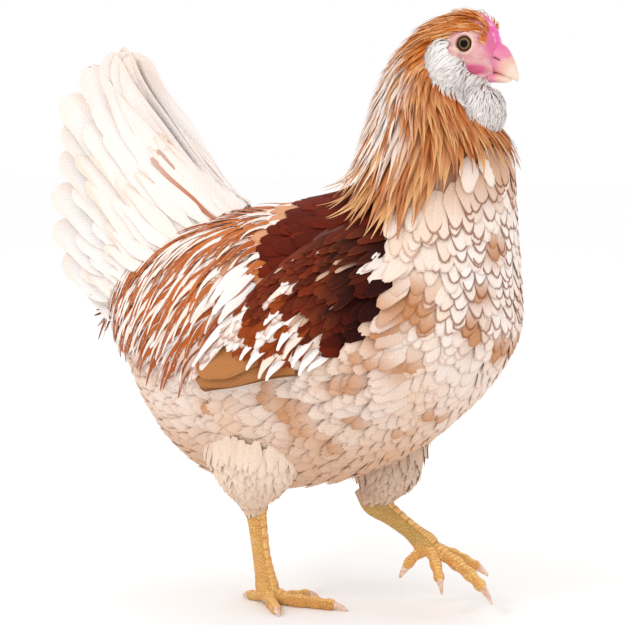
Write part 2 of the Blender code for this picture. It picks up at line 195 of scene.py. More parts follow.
# How thick the coat lies on the thigh at each of its rows.
THIGH_COAT = np.array((6, 6, 5, 3.4, 2.0))
LEGS = {
    -1: ((-12, -16, 74, 6.4, 8.4), (-12, -14, 63, 6.4, 7.4), (-10.5, -13.8, 52, 5.7, 6.3), (-8, -13.4, 32, 5.5, 6.0),
         (-5.5, -13, 18, 6.3, 6.9), (-4.5, -13, 13, 7.2, 7.8), (-3.6, -13, 8.4, 7.6, 7.4), (-2.4, -13, 3.6, 6.6, 6.6)),
    1: ((50, 23, 76, 6.0, 8.0), (56, 22, 66, 6.4, 7.8), (62, 22, 63, 6.9, 8.2), (70, 21.5, 58.5, 6.1, 6.8),
        (83, 20.5, 50.5, 5.5, 6.0), (90, 20, 45.6, 6.3, 6.9), (93.5, 20, 43, 7.0, 7.8), (97.2, 20, 40.4, 7.4, 7.2),
        (101.5, 20, 37.2, 5.4, 5.4)),
}
# Heading from straight ahead towards the inside, root radius, and the length of each joint.
TOES = {
    "hallux": (155, 4.3, (12, 10)),
    "inner": (54, 4.4, (13, 11, 9)),
    "middle": (0, 4.9, (17, 13, 11, 9)),
    "outer": (-54, 4.4, (12, 9, 8, 7)),
}
# How far the pose turns each toe inwards, then how steeply each joint points down. The right foot stands.
POSES = {
    -1: {"hallux": (0, 22, 8), "inner": (0, 20, 2, 0), "middle": (0, 14, 4, 0, 0), "outer": (0, 20, 2, 0, 0)},
    1: {
        "hallux": (3, 36, 52), "inner": (-2, 26, 36, 46), "middle": (14, 20, 26, 32, 40), "outer": (34, 16, 22, 28, 28),
    },
}
KNUCKLE = {-1: np.array((-3.62, -13.0, 8.59)), 1: np.array((97.12, 20.0, 40.31))}
# A toe narrows by the first share to its end, and the standing foot's axes lie that share of a radius up.
TOE_TAPER, TOE_CLEAR, UPRIGHT = 0.22, 0.82, (0.0, 0.0, 1.0)
# Chin and cheek tufts as centre and radii, and the eye's centre on the left.
BEARD = (np.array((137.0, 0.0, 323.5)), np.array((16.5, 19.0, 19.0)))
MUFF = (np.array((124.0, 17.5, 350.0)), np.array((12.5, 11.0, 18.5)))
EYE = np.array((133.5, 12.6, 365.0))


def toe_line(name, sign):
    """Axis of a toe: each joint's length along its heading and steepness, added up from the knuckle."""
    heading, radius, bones = TOES[name]
    turn = np.radians(heading + POSES[sign][name][0])
    steep = np.radians(POSES[sign][name][1:])
    ways = np.stack([np.cos(turn) * np.cos(steep), -sign * np.sin(turn) * np.cos(steep), -np.sin(steep)], axis=1)
    points = np.vstack([KNUCKLE[sign], KNUCKLE[sign] + np.cumsum(ways * np.array(bones)[:, None], axis=0)])
    if sign < 0:
        points[1:, 2] = (radius * TOE_CLEAR * (1 - TOE_TAPER * np.linspace(0, 1, len(points))))[1:]
    return points


def toe_rows(name, sign):
    """The toe as tube rows: a soft pad swells under each joint and the end is rounded."""
    _, radius, bones = TOES[name]
    run = np.linspace(0, len(bones), 8 * len(bones) + 1)
    swell = radius * (1 - TOE_TAPER * run / run[-1]) * (1 - 0.10 * np.cos(2 * np.pi * run)) - 0.25
    swell = swell * np.sqrt(1 - np.clip((run - run[-1] + 0.35) / 0.35, 0, 0.93) ** 2)
    return np.column_stack([smooth(toe_line(name, sign), run), swell, swell * 0.97])


class Form:
    """A surface function with its outward normal and its two slopes, found by small differences."""

    def __init__(self, at, spot, heart):
        """The normal at the spot is the one that points away from the heart."""
        self.at, self.sign = at, 1.0
        point, normal, _, _ = self.read(*(np.array([value], float) for value in spot))
        self.sign = 1.0 if float(((point - heart) * normal).sum()) > 0 else -1.0

    def read(self, u, v, small=2e-3):
        """Place, outward normal, slope along u and slope round v."""
        along = (self.at(u + small, v) - self.at(u - small, v)) / (2 * small)
        round_ = (self.at(u, v + small) - self.at(u, v - small)) / (2 * small)
        return self.at(u, v), unit(np.cross(along, round_)) * self.sign, along, round_


body_form = Form(body, (6.0, -1.5), (40, 0, 190))


def coat_depth(u):
    """How far the skin lies under the coat's outline along the body."""
    return 9.0 - 3.0 * step(9, 12, u) - 4.2 * step(14, 16.5, u) - 1.1 * step(16.8, 18.2, u)


def under_coat(u, v):
    """The body's form moved inwards by the depth of its coat."""
    point, normal, _, _ = body_form.read(u, v)
    return point - normal * coat_depth(u)[..., None]


def rings(at, us, sides):
    """Points of a surface at the places us, each a ring of so many sides, as (rings, sides, 3)."""
    return at(*np.meshgrid(us, np.linspace(0, 2 * np.pi, sides, endpoint=False), indexing="ij"))


def closed(points):
    """Points and faces of a tube of rings: quads between the rings, and a fan on each end."""
    count, sides = points.shape[:2]
    k = np.arange(count * sides).reshape(count, sides)
    n = np.roll(k, -1, axis=1)
    quads = np.stack([k[:-1], n[:-1], n[1:], k[1:]], axis=-1).reshape(-1, 4)
    ends = np.stack([points[0].mean(0), points[-1].mean(0)])
    first, last = (np.full(sides, count * sides + end) for end in (0, 1))
    fans = np.vstack([np.stack([n[0], k[0], first], 1), np.stack([k[-1], n[-1], last], 1)])
    return np.vstack([points.reshape(-1, 3), ends]), quads.tolist() + fans.tolist()


shells = [rings(under_coat, np.linspace(0.0, 20.0, 160), 80)]
for sign in (-1, 1):
    slim = np.array(THIGHS[sign], float) - np.array((0, 0, 0, 1, 1)) * THIGH_COAT[:, None]
    shells.append(rings(limb(slim), np.linspace(0.0, 3.8, 24), 24))
    shells.append(rings(limb(LEGS[sign]), np.linspace(0, len(LEGS[sign]) - 1, 60), 26))
    for name in TOES:
        rows = toe_rows(name, sign)
        shells.append(rings(limb(rows, UPRIGHT), np.arange(len(rows)), 22))
    shells.append(rings(wing(sign), np.linspace(0.2, 6.8, 30), 30) - (0, sign * 6.0, 0))
    cheek = tuft(MUFF[0] * (1, sign, 1), MUFF[1] - 4.5, UPRIGHT)
    shells.append(rings(cheek, np.linspace(0.05, 3.09, 16), 20))
shells.append(rings(tuft(BEARD[0], BEARD[1] - 5.0, UPRIGHT), np.linspace(0.05, 3.09, 16), 20))

# The comb is three low beaded ridges up the brow: off to the side, how proud, radius, beads.
for aside, proud, radius, beads in ((0.0, -1.9, 2.3, 7), (-2.9, -2.1, 2.0, 6), (2.9, -2.1, 2.0, 6)):
    run = np.linspace(0, 1, 60)
    line = smooth(BODY, 18.15 + 1.95 * run)[:, 0:2]
    along = unit(np.gradient(line, axis=0))
    line = line + np.stack([-along[:, 1], along[:, 0]], axis=1) * np.sign(along[:1, 0]) * proud
    swell = radius * (1 + 0.17 * np.cos(run * beads * 2 * np.pi + aside)) * np.sin(np.pi * (0.08 + 0.84 * run)) ** 0.5
    rows = np.column_stack([line[:, 0], np.full(60, aside), line[:, 1], swell, swell])
    shells.append(rings(limb(rows, (0.0, 1.0, 0.0)), np.arange(60), 14))

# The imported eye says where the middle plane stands.
eye_low, eye_high = (np.array(corner) * 1000 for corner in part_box("eye_right"))
PLACE = np.round((eye_low + eye_high) / 2 - EYE * (1, -1, 1), 1)


def in_frame(points):
    """Millimetres of the middle plane to metres of the frame, nothing below the floor."""
    spots = (points + PLACE) * 0.001
    spots[:, 2] = np.maximum(spots[:, 2], 0.0)
    return spots


def add_piece(name, points, faces, material=None):
    """A smooth mesh object in the hen's frame."""
    mesh = bpy.data.meshes.new(name)
    mesh.from_pydata(in_frame(points).tolist(), [], faces)
    mesh.shade_smooth()
    piece = bpy.data.objects.new(name, mesh)
    bpy.context.collection.objects.link(piece)
    if material:
        mesh.materials.append(material)
    return piece


def work_in(piece):
    """Makes the piece's modifiers part of its mesh."""
    mesh = bpy.data.meshes.new_from_object(piece.evaluated_get(bpy.context.evaluated_depsgraph_get()))
    piece.modifiers.clear()
    piece.data = mesh


def places(mesh):
    """Vertex positions in millimetres of the middle plane."""
    flat = np.empty(len(mesh.vertices) * 3, np.float32)
    mesh.vertices.foreach_get("co", flat)
    return flat.reshape(-1, 3) * 1000.0 - PLACE


# The shells are melted together in cells of this size in metres, and this share of the faces is then kept.
CELL, KEPT = 0.0009, 0.24
points, faces, count = [], [], 0
for shell_points, shell_faces in map(closed, shells):
    points.append(shell_points)
    faces += [[index + count for index in face] for face in shell_faces]
    count += len(shell_points)
skin = add_piece("skin", np.vstack(points), faces)
remesh = skin.modifiers.new("one_skin", "REMESH")
remesh.mode, remesh.voxel_size, remesh.adaptivity = "VOXEL", CELL, 0.0
work_in(skin)

# The mesh stays fine at the head and the legs, and is thinned out under the coat.
points = places(skin.data)
bare_head = step(110.0, 117.0, points[:, 0]) * step(325, 335, points[:, 2])
coarse = 1 - np.clip(bare_head + 1 - step(58, 66, points[:, 2]), 0, 1)
group = skin.vertex_groups.new(name="coarse")
for level in np.linspace(0, 1, 5):
    group.add(np.where(np.abs(coarse - level) <= 0.125)[0].tolist(), 0.12 + 0.88 * float(level), "REPLACE")
thinned = skin.modifiers.new("thin_out", "DECIMATE")
thinned.ratio, thinned.vertex_group, thinned.vertex_group_factor = KEPT, "coarse", 1.0
work_in(skin)
skin.data.shade_smooth()


def near(points, centre, radii):
    """1 at the centre, falling smoothly to 0 on an ellipsoid of these radii."""
    far = np.linalg.norm((points - np.asarray(centre, float)) / np.asarray(radii, float), axis=-1)
    return 1 - step(0.0, 1.0, far)


def bell(value, width):
    """exp(-(value / width)^2)."""
    return np.exp(-((value / width) ** 2))


def hash_noise(points, scale, seed=0):
    """Smooth value noise: random numbers on a lattice of that scale, blended with 3t^2 - 2t^3."""
    at = np.asarray(points, float) / scale + 1000.5
    cell = np.floor(at).astype(np.int64)
    t = at - cell
    t = t * t * (3 - 2 * t)
    total = 0.0
    for corner in np.ndindex(2, 2, 2):
        x, y, z = np.moveaxis(cell + np.array(corner), -1, 0)
        key = (x * 73856093) ^ (y * 19349663) ^ (z * 83492791) ^ (seed * 2654435761)
        key = (key ^ (key >> 13)) * 1274126177
        value = ((key ^ (key >> 16)) & 65535) / 65535.0
        total = total + value * np.prod(np.where(np.array(corner) == 1, t, 1 - t), axis=-1)
    return total


# Fleshy detail: the rim of the eyelids, the flap over the nostril, folds from the eye to the mouth, and the gape.
points = places(skin.data)
normals = np.empty(len(points) * 3, np.float32)
skin.data.vertices.foreach_get("normal", normals)
normals = normals.reshape(-1, 3)
side = np.abs(points[:, 1])
from_eye = np.hypot(points[:, 0] - EYE[0], points[:, 2] - EYE[2])
outer = step(4, 8, side)
lift = 1.5 * bell(from_eye - 6.0, 1.1) * outer
lift -= 3.6 * (1 - step(3.9, 5.2, from_eye)) * outer
lift += 0.35 * np.sin(from_eye * 2.4) * bell(from_eye - 9.5, 3.0) * outer
gape = np.abs(points[:, 2] - (346.5 + 0.10 * (points[:, 0] - 140)))
lift -= 0.9 * bell(gape, 0.7) * step(131, 135, points[:, 0]) * outer
lift += 1.1 * near(points * (1, 0, 1) + side[:, None] * (0, 1, 0), (149.5, 8.0, 357.5), (5.0, 8.0, 3.0))
slit = np.abs(points[:, 2] - (356.4 - 0.45 * (points[:, 0] - 149)))
lift -= 1.1 * bell(slit, 0.55) * (1 - step(2.5, 4.0, np.abs(points[:, 0] - 149.6))) * step(3, 5, side)
cheek = step(122, 130, points[:, 0]) * step(334, 342, points[:, 2])
for height, scale, seed in ((0.45, (2.6, 2.2, 1.6), 3), (0.25, (1.1, 1.1, 0.8), 4)):
    lift += cheek * height * (hash_noise(points, scale, seed) - 0.5) * 2
skin.data.vertices.foreach_set("co", in_frame(points + normals * lift[:, None]).ravel().astype(np.float32))
skin.data.update()


def tint(red, green, blue):
    """Screen colour of 0 to 255, as the light it gives off: ((c + 0.055) / 1.055)^2.4."""
    c = np.array((red, green, blue)) / 255
    return np.where(c < 0.04045, c / 12.92, ((c + 0.055) / 1.055) ** 2.4)


# Markings, the same for skin and coat: white ground, orange cape and crown, a mahogany shoulder, a buff-stained
# breast and a tan wing bay.
CREAM, WHITE, PALE = tint(252, 230, 214), tint(255, 247, 242), tint(242, 206, 176)
BUFF, ORANGE, RUST = tint(202, 140, 88), tint(208, 116, 50), tint(164, 76, 24)
MAHOGANY, DEEP, TAN = tint(120, 34, 8), tint(44, 7, 2), tint(194, 126, 70)
# Outline of the mahogany shoulder in x and z, and the buff stains as centre and radii.
SHOULDER = (
    (18, 255), (0, 234), (11, 228), (15, 212), (21, 203), (27, 192), (34, 197), (36, 209), (42, 219),
    (55, 224), (50, 214), (43, 206), (49, 198), (59, 188), (66, 174), (79, 178), (87, 186), (99, 199),
    (99, 215), (93, 224), (84, 226), (101, 243), (97, 254), (90, 264), (84, 300), (12, 300),
)
STAINS = (
    ((118, -63, 210), (13, 22, 11)), ((109, -66, 201), (23, 22, 14)), ((96, -67, 186), (19, 22, 8)),
    ((122, -61, 197), (9, 22, 14)), ((106, -60, 167), (21, 22, 9)), ((89, -66, 170), (19, 22, 8)),
    ((149, -40, 187), (10, 22, 17)), ((155, -33, 209), (7, 22, 9)), ((157, -24, 237), (7, 22, 12)),
    ((158, -13, 173), (7, 22, 14)), ((117, -28, 131), (11, 22, 6)), ((34, -63, 135), (15, 22, 17)),
    ((41, -54, 119), (17, 22, 10)), ((53, -47, 112), (13, 22, 8)), ((-27, -62, 135), (6, 22, 12)),
    ((76, -64, 154), (21, 22, 6)), ((19, -67, 144), (9, 22, 12)), ((-3, -31, 87), (11, 22, 8)),
    ((97, -34, 120), (13, 22, 5)), ((74, -54, 131), (9, 22, 8)),
)


def inside(points, outline):
    """Whether x and z lie in a closed outline: each edge that a ray along x crosses turns the answer over."""
    x, z = points[..., 0], points[..., 2]
    outline = np.asarray(outline, float)
    found = np.zeros(x.shape, bool)
    for (x0, z0), (x1, z1) in zip(outline, np.roll(outline, -1, axis=0)):
        found ^= ((z0 > z) != (z1 > z)) & (x < (x1 - x0) * (z - z0) / (z1 - z0 + 1e-9) + x0)
    return found


def on_right(points):
    """Places mirrored to the right side, where y is below 0."""
    return np.where((True, False, True), points, -np.abs(points))


def blend(ground, *layers):
    """The ground with each layer's colour mixed over it by its share, in turn."""
    for colour, share in layers:
        share = np.asarray(share, float)[..., None]
        ground = ground * (1 - share) + np.asarray(colour) * share
    return ground


def body_colour(points, chance):
    """Ground colour, edge colour and edge strength of a body feather seen at these places, with painted shade darkening
    the lower body.
    """
    x, z = points[..., 0], points[..., 2]
    stain = np.zeros(x.shape)
    for centre, radii in STAINS:
        stain = np.maximum(stain, near(on_right(points), centre, np.array(radii) * 1.3))
    front = step(100, 140, x) * step(160, 200, z)
    ground = blend(
        CREAM,
        (WHITE, 0.2 + 0.7 * chance),
        (PALE, step(0.45, 0.85, hash_noise(points, 24.0, 5)) * (0.35 + 0.4 * (chance > 0.5))),
        (tint(196, 130, 78), step(0.15, 0.8, stain + 0.25 * (chance - 0.5)) * 0.95),
        (BUFF, step(245, 285, z) * step(110, 140, x) * 0.75 * (chance > 0.35)),
    )
    edge = blend(BUFF, (RUST, 0.5), (tint(116, 60, 34), front * 0.7))
    back = inside(points, SHOULDER)
    deep = np.clip(0.6 * chance + 0.7 * step(62, 84, x) * (1 - step(226, 246, z)), 0, 1)
    ground = np.where(back[..., None], blend(MAHOGANY, (DEEP, deep)), ground)
    edge = np.where(back[..., None], blend(MAHOGANY, (DEEP, 0.5)), edge)
    rump = (x < 22) & (z > 178 + 0.1 * x) & ~back
    ground = np.where((rump & (chance > 0.5))[..., None], blend(ORANGE, (PALE, 0.4)), ground)
    # Painted shade: low on the body the ground is blended towards a dull greyish tan, as on an underside lit from
    # above.
    underside_painted_shade = 0.42 * (1 - step(110, 220, z)) * ~back + 0.38 * (1 - step(96, 130, z))
    return blend(ground, (tint(210, 164, 128), underside_painted_shade)), edge, 0.22 + 0.6 * front * (chance > 0.4)


def paint(mesh, key, colours):
    """Colours per vertex as an attribute, with alpha 1 where none is given."""
    if colours.shape[1] == 3:
        colours = np.concatenate([colours, np.ones((len(colours), 1))], axis=1)
    layer = mesh.color_attributes.new(key, "FLOAT_COLOR", "POINT")
    layer.data.foreach_set("color", colours.astype(np.float32).ravel())


# The skin's colours: pink face, deep magenta gape and comb, yellow legs, and elsewhere the coat's colour darkened as
# painted shade under the feathers.
points = places(skin.data)
x, z = points[:, 0], points[:, 2]
right = on_right(points)
# Painted shade: where skin shows between feathers it takes the coat's colour darkened to three quarters.
hidden = body_colour(points, np.full(len(points), 0.5))[0] * 0.75
tufted = np.maximum(near(right, BEARD[0], (24, 27, 27)), near(right, MUFF[0] * (1, -1, 1), (19, 18, 27)))
tufted = np.maximum(tufted, (1 - step(338, 342, z)) * step(120, 128, x) * step(318, 324, z))
face = step(120, 127, x) * step(333, 340, z)
pink = blend(
    tint(222, 150, 158),
    (tint(230, 184, 178), hash_noise(points, 4.0, 21)),
    (tint(222, 104, 150), step(0, 0.7, near(right, (151, -5, 366), (16, 16, 20)))),
    (tint(210, 84, 130), step(0, 0.7, near(right, (139, -12, 349), (13, 14, 6)))),
    (tint(150, 44, 76), step(0, 0.8, near(right, (134, -14, 344), (8, 12, 5))) * 0.85),
    (tint(190, 110, 122), 0.35 * step(0.5, 0.8, hash_noise(points, (2.0, 1.6, 1.2), 31))),
)
brow_line = smooth(BODY, np.linspace(18.1, 20, 40))[:, 0:2]
off_line = np.sqrt(((points[:, None, [0, 2]] - brow_line[None, :, :]) ** 2).sum(-1)).min(1)
comb = (1 - step(3.6, 5.2, off_line)) * (1 - step(5.0, 6.2, np.abs(points[:, 1])))
comb = comb * step(136, 139, x) * step(352, 356, z)
comb_colour = blend(tint(236, 92, 170), (tint(246, 170, 208), step(0.45, 0.8, hash_noise(points, 2.2, 22))))
leg = 1 - step(62, 70, z)
ochre = blend(
    tint(238, 182, 102),
    (tint(226, 156, 76), hash_noise(points, 7.0, 23)),
    (tint(238, 200, 134), step(0.6, 0.9, hash_noise(points, 3.0, 24)) * 0.6),
    # Painted shade: the far, raised shank is dulled towards olive, as it lies in the belly's shade.
    (tint(196, 160, 86), 0.7 * step(0, 12, points[:, 1]) * step(38, 46, z)),
)
colour = blend(
    hidden,
    # Painted shade: under the cape the skin is the cape's orange darkened to seven tenths.
    (tint(205, 118, 56) * 0.7, step(258, 300, z)),
    (tint(236, 222, 214), step(0.0, 0.3, tufted)),
    (pink, face),
    (comb_colour, comb),
    (tint(236, 206, 188), bell(from_eye - 6.3, 0.9) * outer * 0.8),
    (tint(60, 34, 30), (1 - step(4.6, 5.3, from_eye)) * outer),
    (ochre, leg),
)
paint(skin.data, "Ground", colour)
paint(skin.data, "Areas", np.stack([face, leg, comb], axis=1))


class Wire:
    """A socket whose + - * and ** add Math nodes."""

    def __init__(self, board, socket):
        self.board, self.socket = board, socket

    def math(self, operation, one, two=0.0):
        return self.board.node("ShaderNodeMath", {"operation": operation}, {0: one, 1: two})

    def __add__(self, other):
        return self.math("ADD", self, other)

    def __mul__(self, other):
        return self.math("MULTIPLY", self, other)

    def __sub__(self, other):
        return self.math("SUBTRACT", self, other)

    def __rsub__(self, other):
        return self.math("SUBTRACT", other, self)

    def __pow__(self, other):
        return self.math("POWER", self, other)

    __radd__, __rmul__ = __add__, __mul__

    def made(self, operation):
        return self.math(operation, self)

    def output(self, key):
        """Another output of the same node."""
        return Wire(self.board, self.socket.node.outputs[key])

    def step(self, low, high):
        """0 to 1 between low and high, smoothly."""
        settings = {"interpolation_type": "SMOOTHSTEP"}
        return self.board.node("ShaderNodeMapRange", settings, {0: self, 1: low, 2: high, 3: 0.0, 4: 1.0})


class Board:
    """One material's nodes."""

    def __init__(self, name):
        self.material = bpy.data.materials.new(name)
        self.material.use_nodes = True
        self.tree = self.material.node_tree
        self.shader = self.tree.nodes["Principled BSDF"]

    def node(self, kind, settings=None, values=None, out=0):
        made = self.tree.nodes.new(kind)
        for key, value in (settings or {}).items():
            setattr(made, key, value)
        for key, value in (values or {}).items():
            self.feed(made.inputs[key], value)
        return Wire(self, made.outputs[out])

    def feed(self, socket, value):
        if isinstance(value, Wire):
            self.tree.links.new(value.socket, socket)
        else:
            socket.default_value = value

    def mix(self, share, one, two):
        """Colour one where share is 0, and two where it is 1."""
        made = self.node("ShaderNodeMix", {"data_type": "RGBA"}, {"Factor": share})
        for socket, value in zip(made.socket.node.inputs[6:8], (one, two)):
            self.feed(socket, value if isinstance(value, Wire) else (*value, 1.0))
        return made.output(2)

    def scaled(self, colour, by):
        """A colour times a number."""
        made = self.node("ShaderNodeVectorMath", {"operation": "SCALE"}, {0: colour})
        self.feed(made.socket.node.inputs["Scale"], by)
        return made

    def colours(self, key):
        """A colour attribute of the mesh."""
        return self.node("ShaderNodeVertexColor", {"layer_name": key})

    def place(self):
        return self.node("ShaderNodeTexCoord", out="Object")

    def noise(self, scale, detail=2.0):
        return self.node("ShaderNodeTexNoise", {}, {"Vector": self.place(), "Scale": scale, "Detail": detail})

    def bump(self, height, strength, distance):
        made = self.node("ShaderNodeBump", {}, {"Height": height, "Strength": strength, "Distance": distance})
        self.feed(self.shader.inputs["Normal"], made)

    def surface(self, colour, roughness, **constants):
        self.feed(self.shader.inputs["Base Color"], colour)
        self.feed(self.shader.inputs["Roughness"], roughness)
        for key, value in constants.items():
            self.shader.inputs[key.replace("_", " ")].default_value = value
        return self.material


board = Board("skin_living")
areas = board.node("ShaderNodeSeparateColor", {}, {0: board.colours("Areas")})
on_leg, on_comb = areas.output(1), areas.output(2)
cells = board.node("ShaderNodeTexVoronoi", {"feature": "DISTANCE_TO_EDGE"}, {"Vector": board.place(), "Scale": 520.0})
scale_lines = cells.output("Distance").step(0.0, 0.14)
grain = board.noise(900.0, 3.0)
tone = 1.0 - on_leg * (1.0 - scale_lines) * 0.24 + (grain - 0.5) * 0.14
board.bump(scale_lines * on_leg + grain * 0.35, 0.7, 0.0006)
colour = board.scaled(board.colours("Ground"), tone)
living = board.surface(colour, 0.52 - on_comb * 0.12, Subsurface_Weight=0.12, Subsurface_Scale=0.004)
skin.data.materials.append(living)
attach(skin, "root")
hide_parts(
    "head", "neck", "trunk", "tail", "wing_left", "wing_right", "thigh_left", "thigh_right", "shank_left",
    "shank_right", "foot_left", "foot_right", "comb", "beard", "muff_left", "muff_right",
)


# ------------------------------------------------------------------ body feathers
# The breast and belly wear rounded feathers like scales, each tipped towards the tail, looser and more frayed low
# down and behind. Like every feather of the coat, each is a closed vane, jagged at the tip and cupped across, rooted
# in the skin with its tip on the coat's outline.

rng = np.random.default_rng(20)
ALL_ROUND = (-np.pi, np.pi)


def spread(size):
    """Chances from -1 to 1."""
    return rng.uniform(-1.0, 1.0, size)


def pick(chosen, *things):
    """Each array, or each array of a tuple, with only its chosen rows."""
    return [tuple(part[chosen] for part in thing) if isinstance(thing, tuple) else thing[chosen] for thing in things]


def scatter(form, us, vs, spacing, candidates):
    """Roots by dart throwing: places drawn evenly over the surface, kept when none kept is nearer than spacing."""
    u, v = rng.uniform(*us, candidates), rng.uniform(*vs, candidates)
    points, _, along, round_ = form.read(u, v)
    size = np.linalg.norm(np.cross(along, round_), axis=-1)
    u, v, points = pick(rng.uniform(0, 1, candidates) < size / np.percentile(size, 97), u, v, points)
    gap = spacing(points) if callable(spacing) else np.full(len(u), spacing)
    tree = mathutils.kdtree.KDTree(len(u))
    for index, point in enumerate(points):
        tree.insert(point, index)
    tree.balance()
    alive, chosen = np.ones(len(u), bool), []
    for index, point in enumerate(points):
        if alive[index]:
            chosen.append(index)
            for _, other, _ in tree.find_range(point, gap[index]):
                alive[other] = False
    return u[chosen], v[chosen]


def strokes(form, u, v, length, turns, rise, flow=-1.0, ends=(0.02, 19.8)):
    """Root, middle and tip of each feather, and the outward normal there.

    Half a length at a time, it walks the form against u, turned down the side by turns, and stands off by rise.
    """
    points, normals = [], []
    over = np.zeros((len(u), 3))
    for stage in range(3):
        point, normal, along, round_ = form.read(np.clip(u, *ends), v)
        points.append(point + over + normal * np.broadcast_to(rise[stage], u.shape)[:, None])
        normals.append(normal)
        if stage < 2:
            along_size = np.linalg.norm(along, axis=-1)
            round_size = np.maximum(np.linalg.norm(round_, axis=-1), 8.0)
            past = u + flow * np.cos(turns[stage]) * length / 2 / along_size
            over = over + along * (past - np.clip(past, *ends))[:, None]
            u, v = np.clip(past, *ends), v + np.sin(turns[stage]) * length / 2 / round_size
    return np.stack(points, axis=1), np.stack(normals, axis=1)


class Look:
    """Shape of a vane: its rings and columns, then as shares how blunt and jagged its tip is, how cupped it is, how
    wide its stem is, where it is widest and how wide its tip is, and its thickness and shaft in millimetres."""

    def __init__(self, rings, columns, **shape):
        self.rings, self.columns = rings, columns
        self.blunt, self.jag, self.cup, self.stem, self.peak, self.taper = 0.8, 0.05, 0.16, 0.35, 0.45, 0.15
        self.thick, self.ridge = 0.3, 0.12
        vars(self).update(shape)


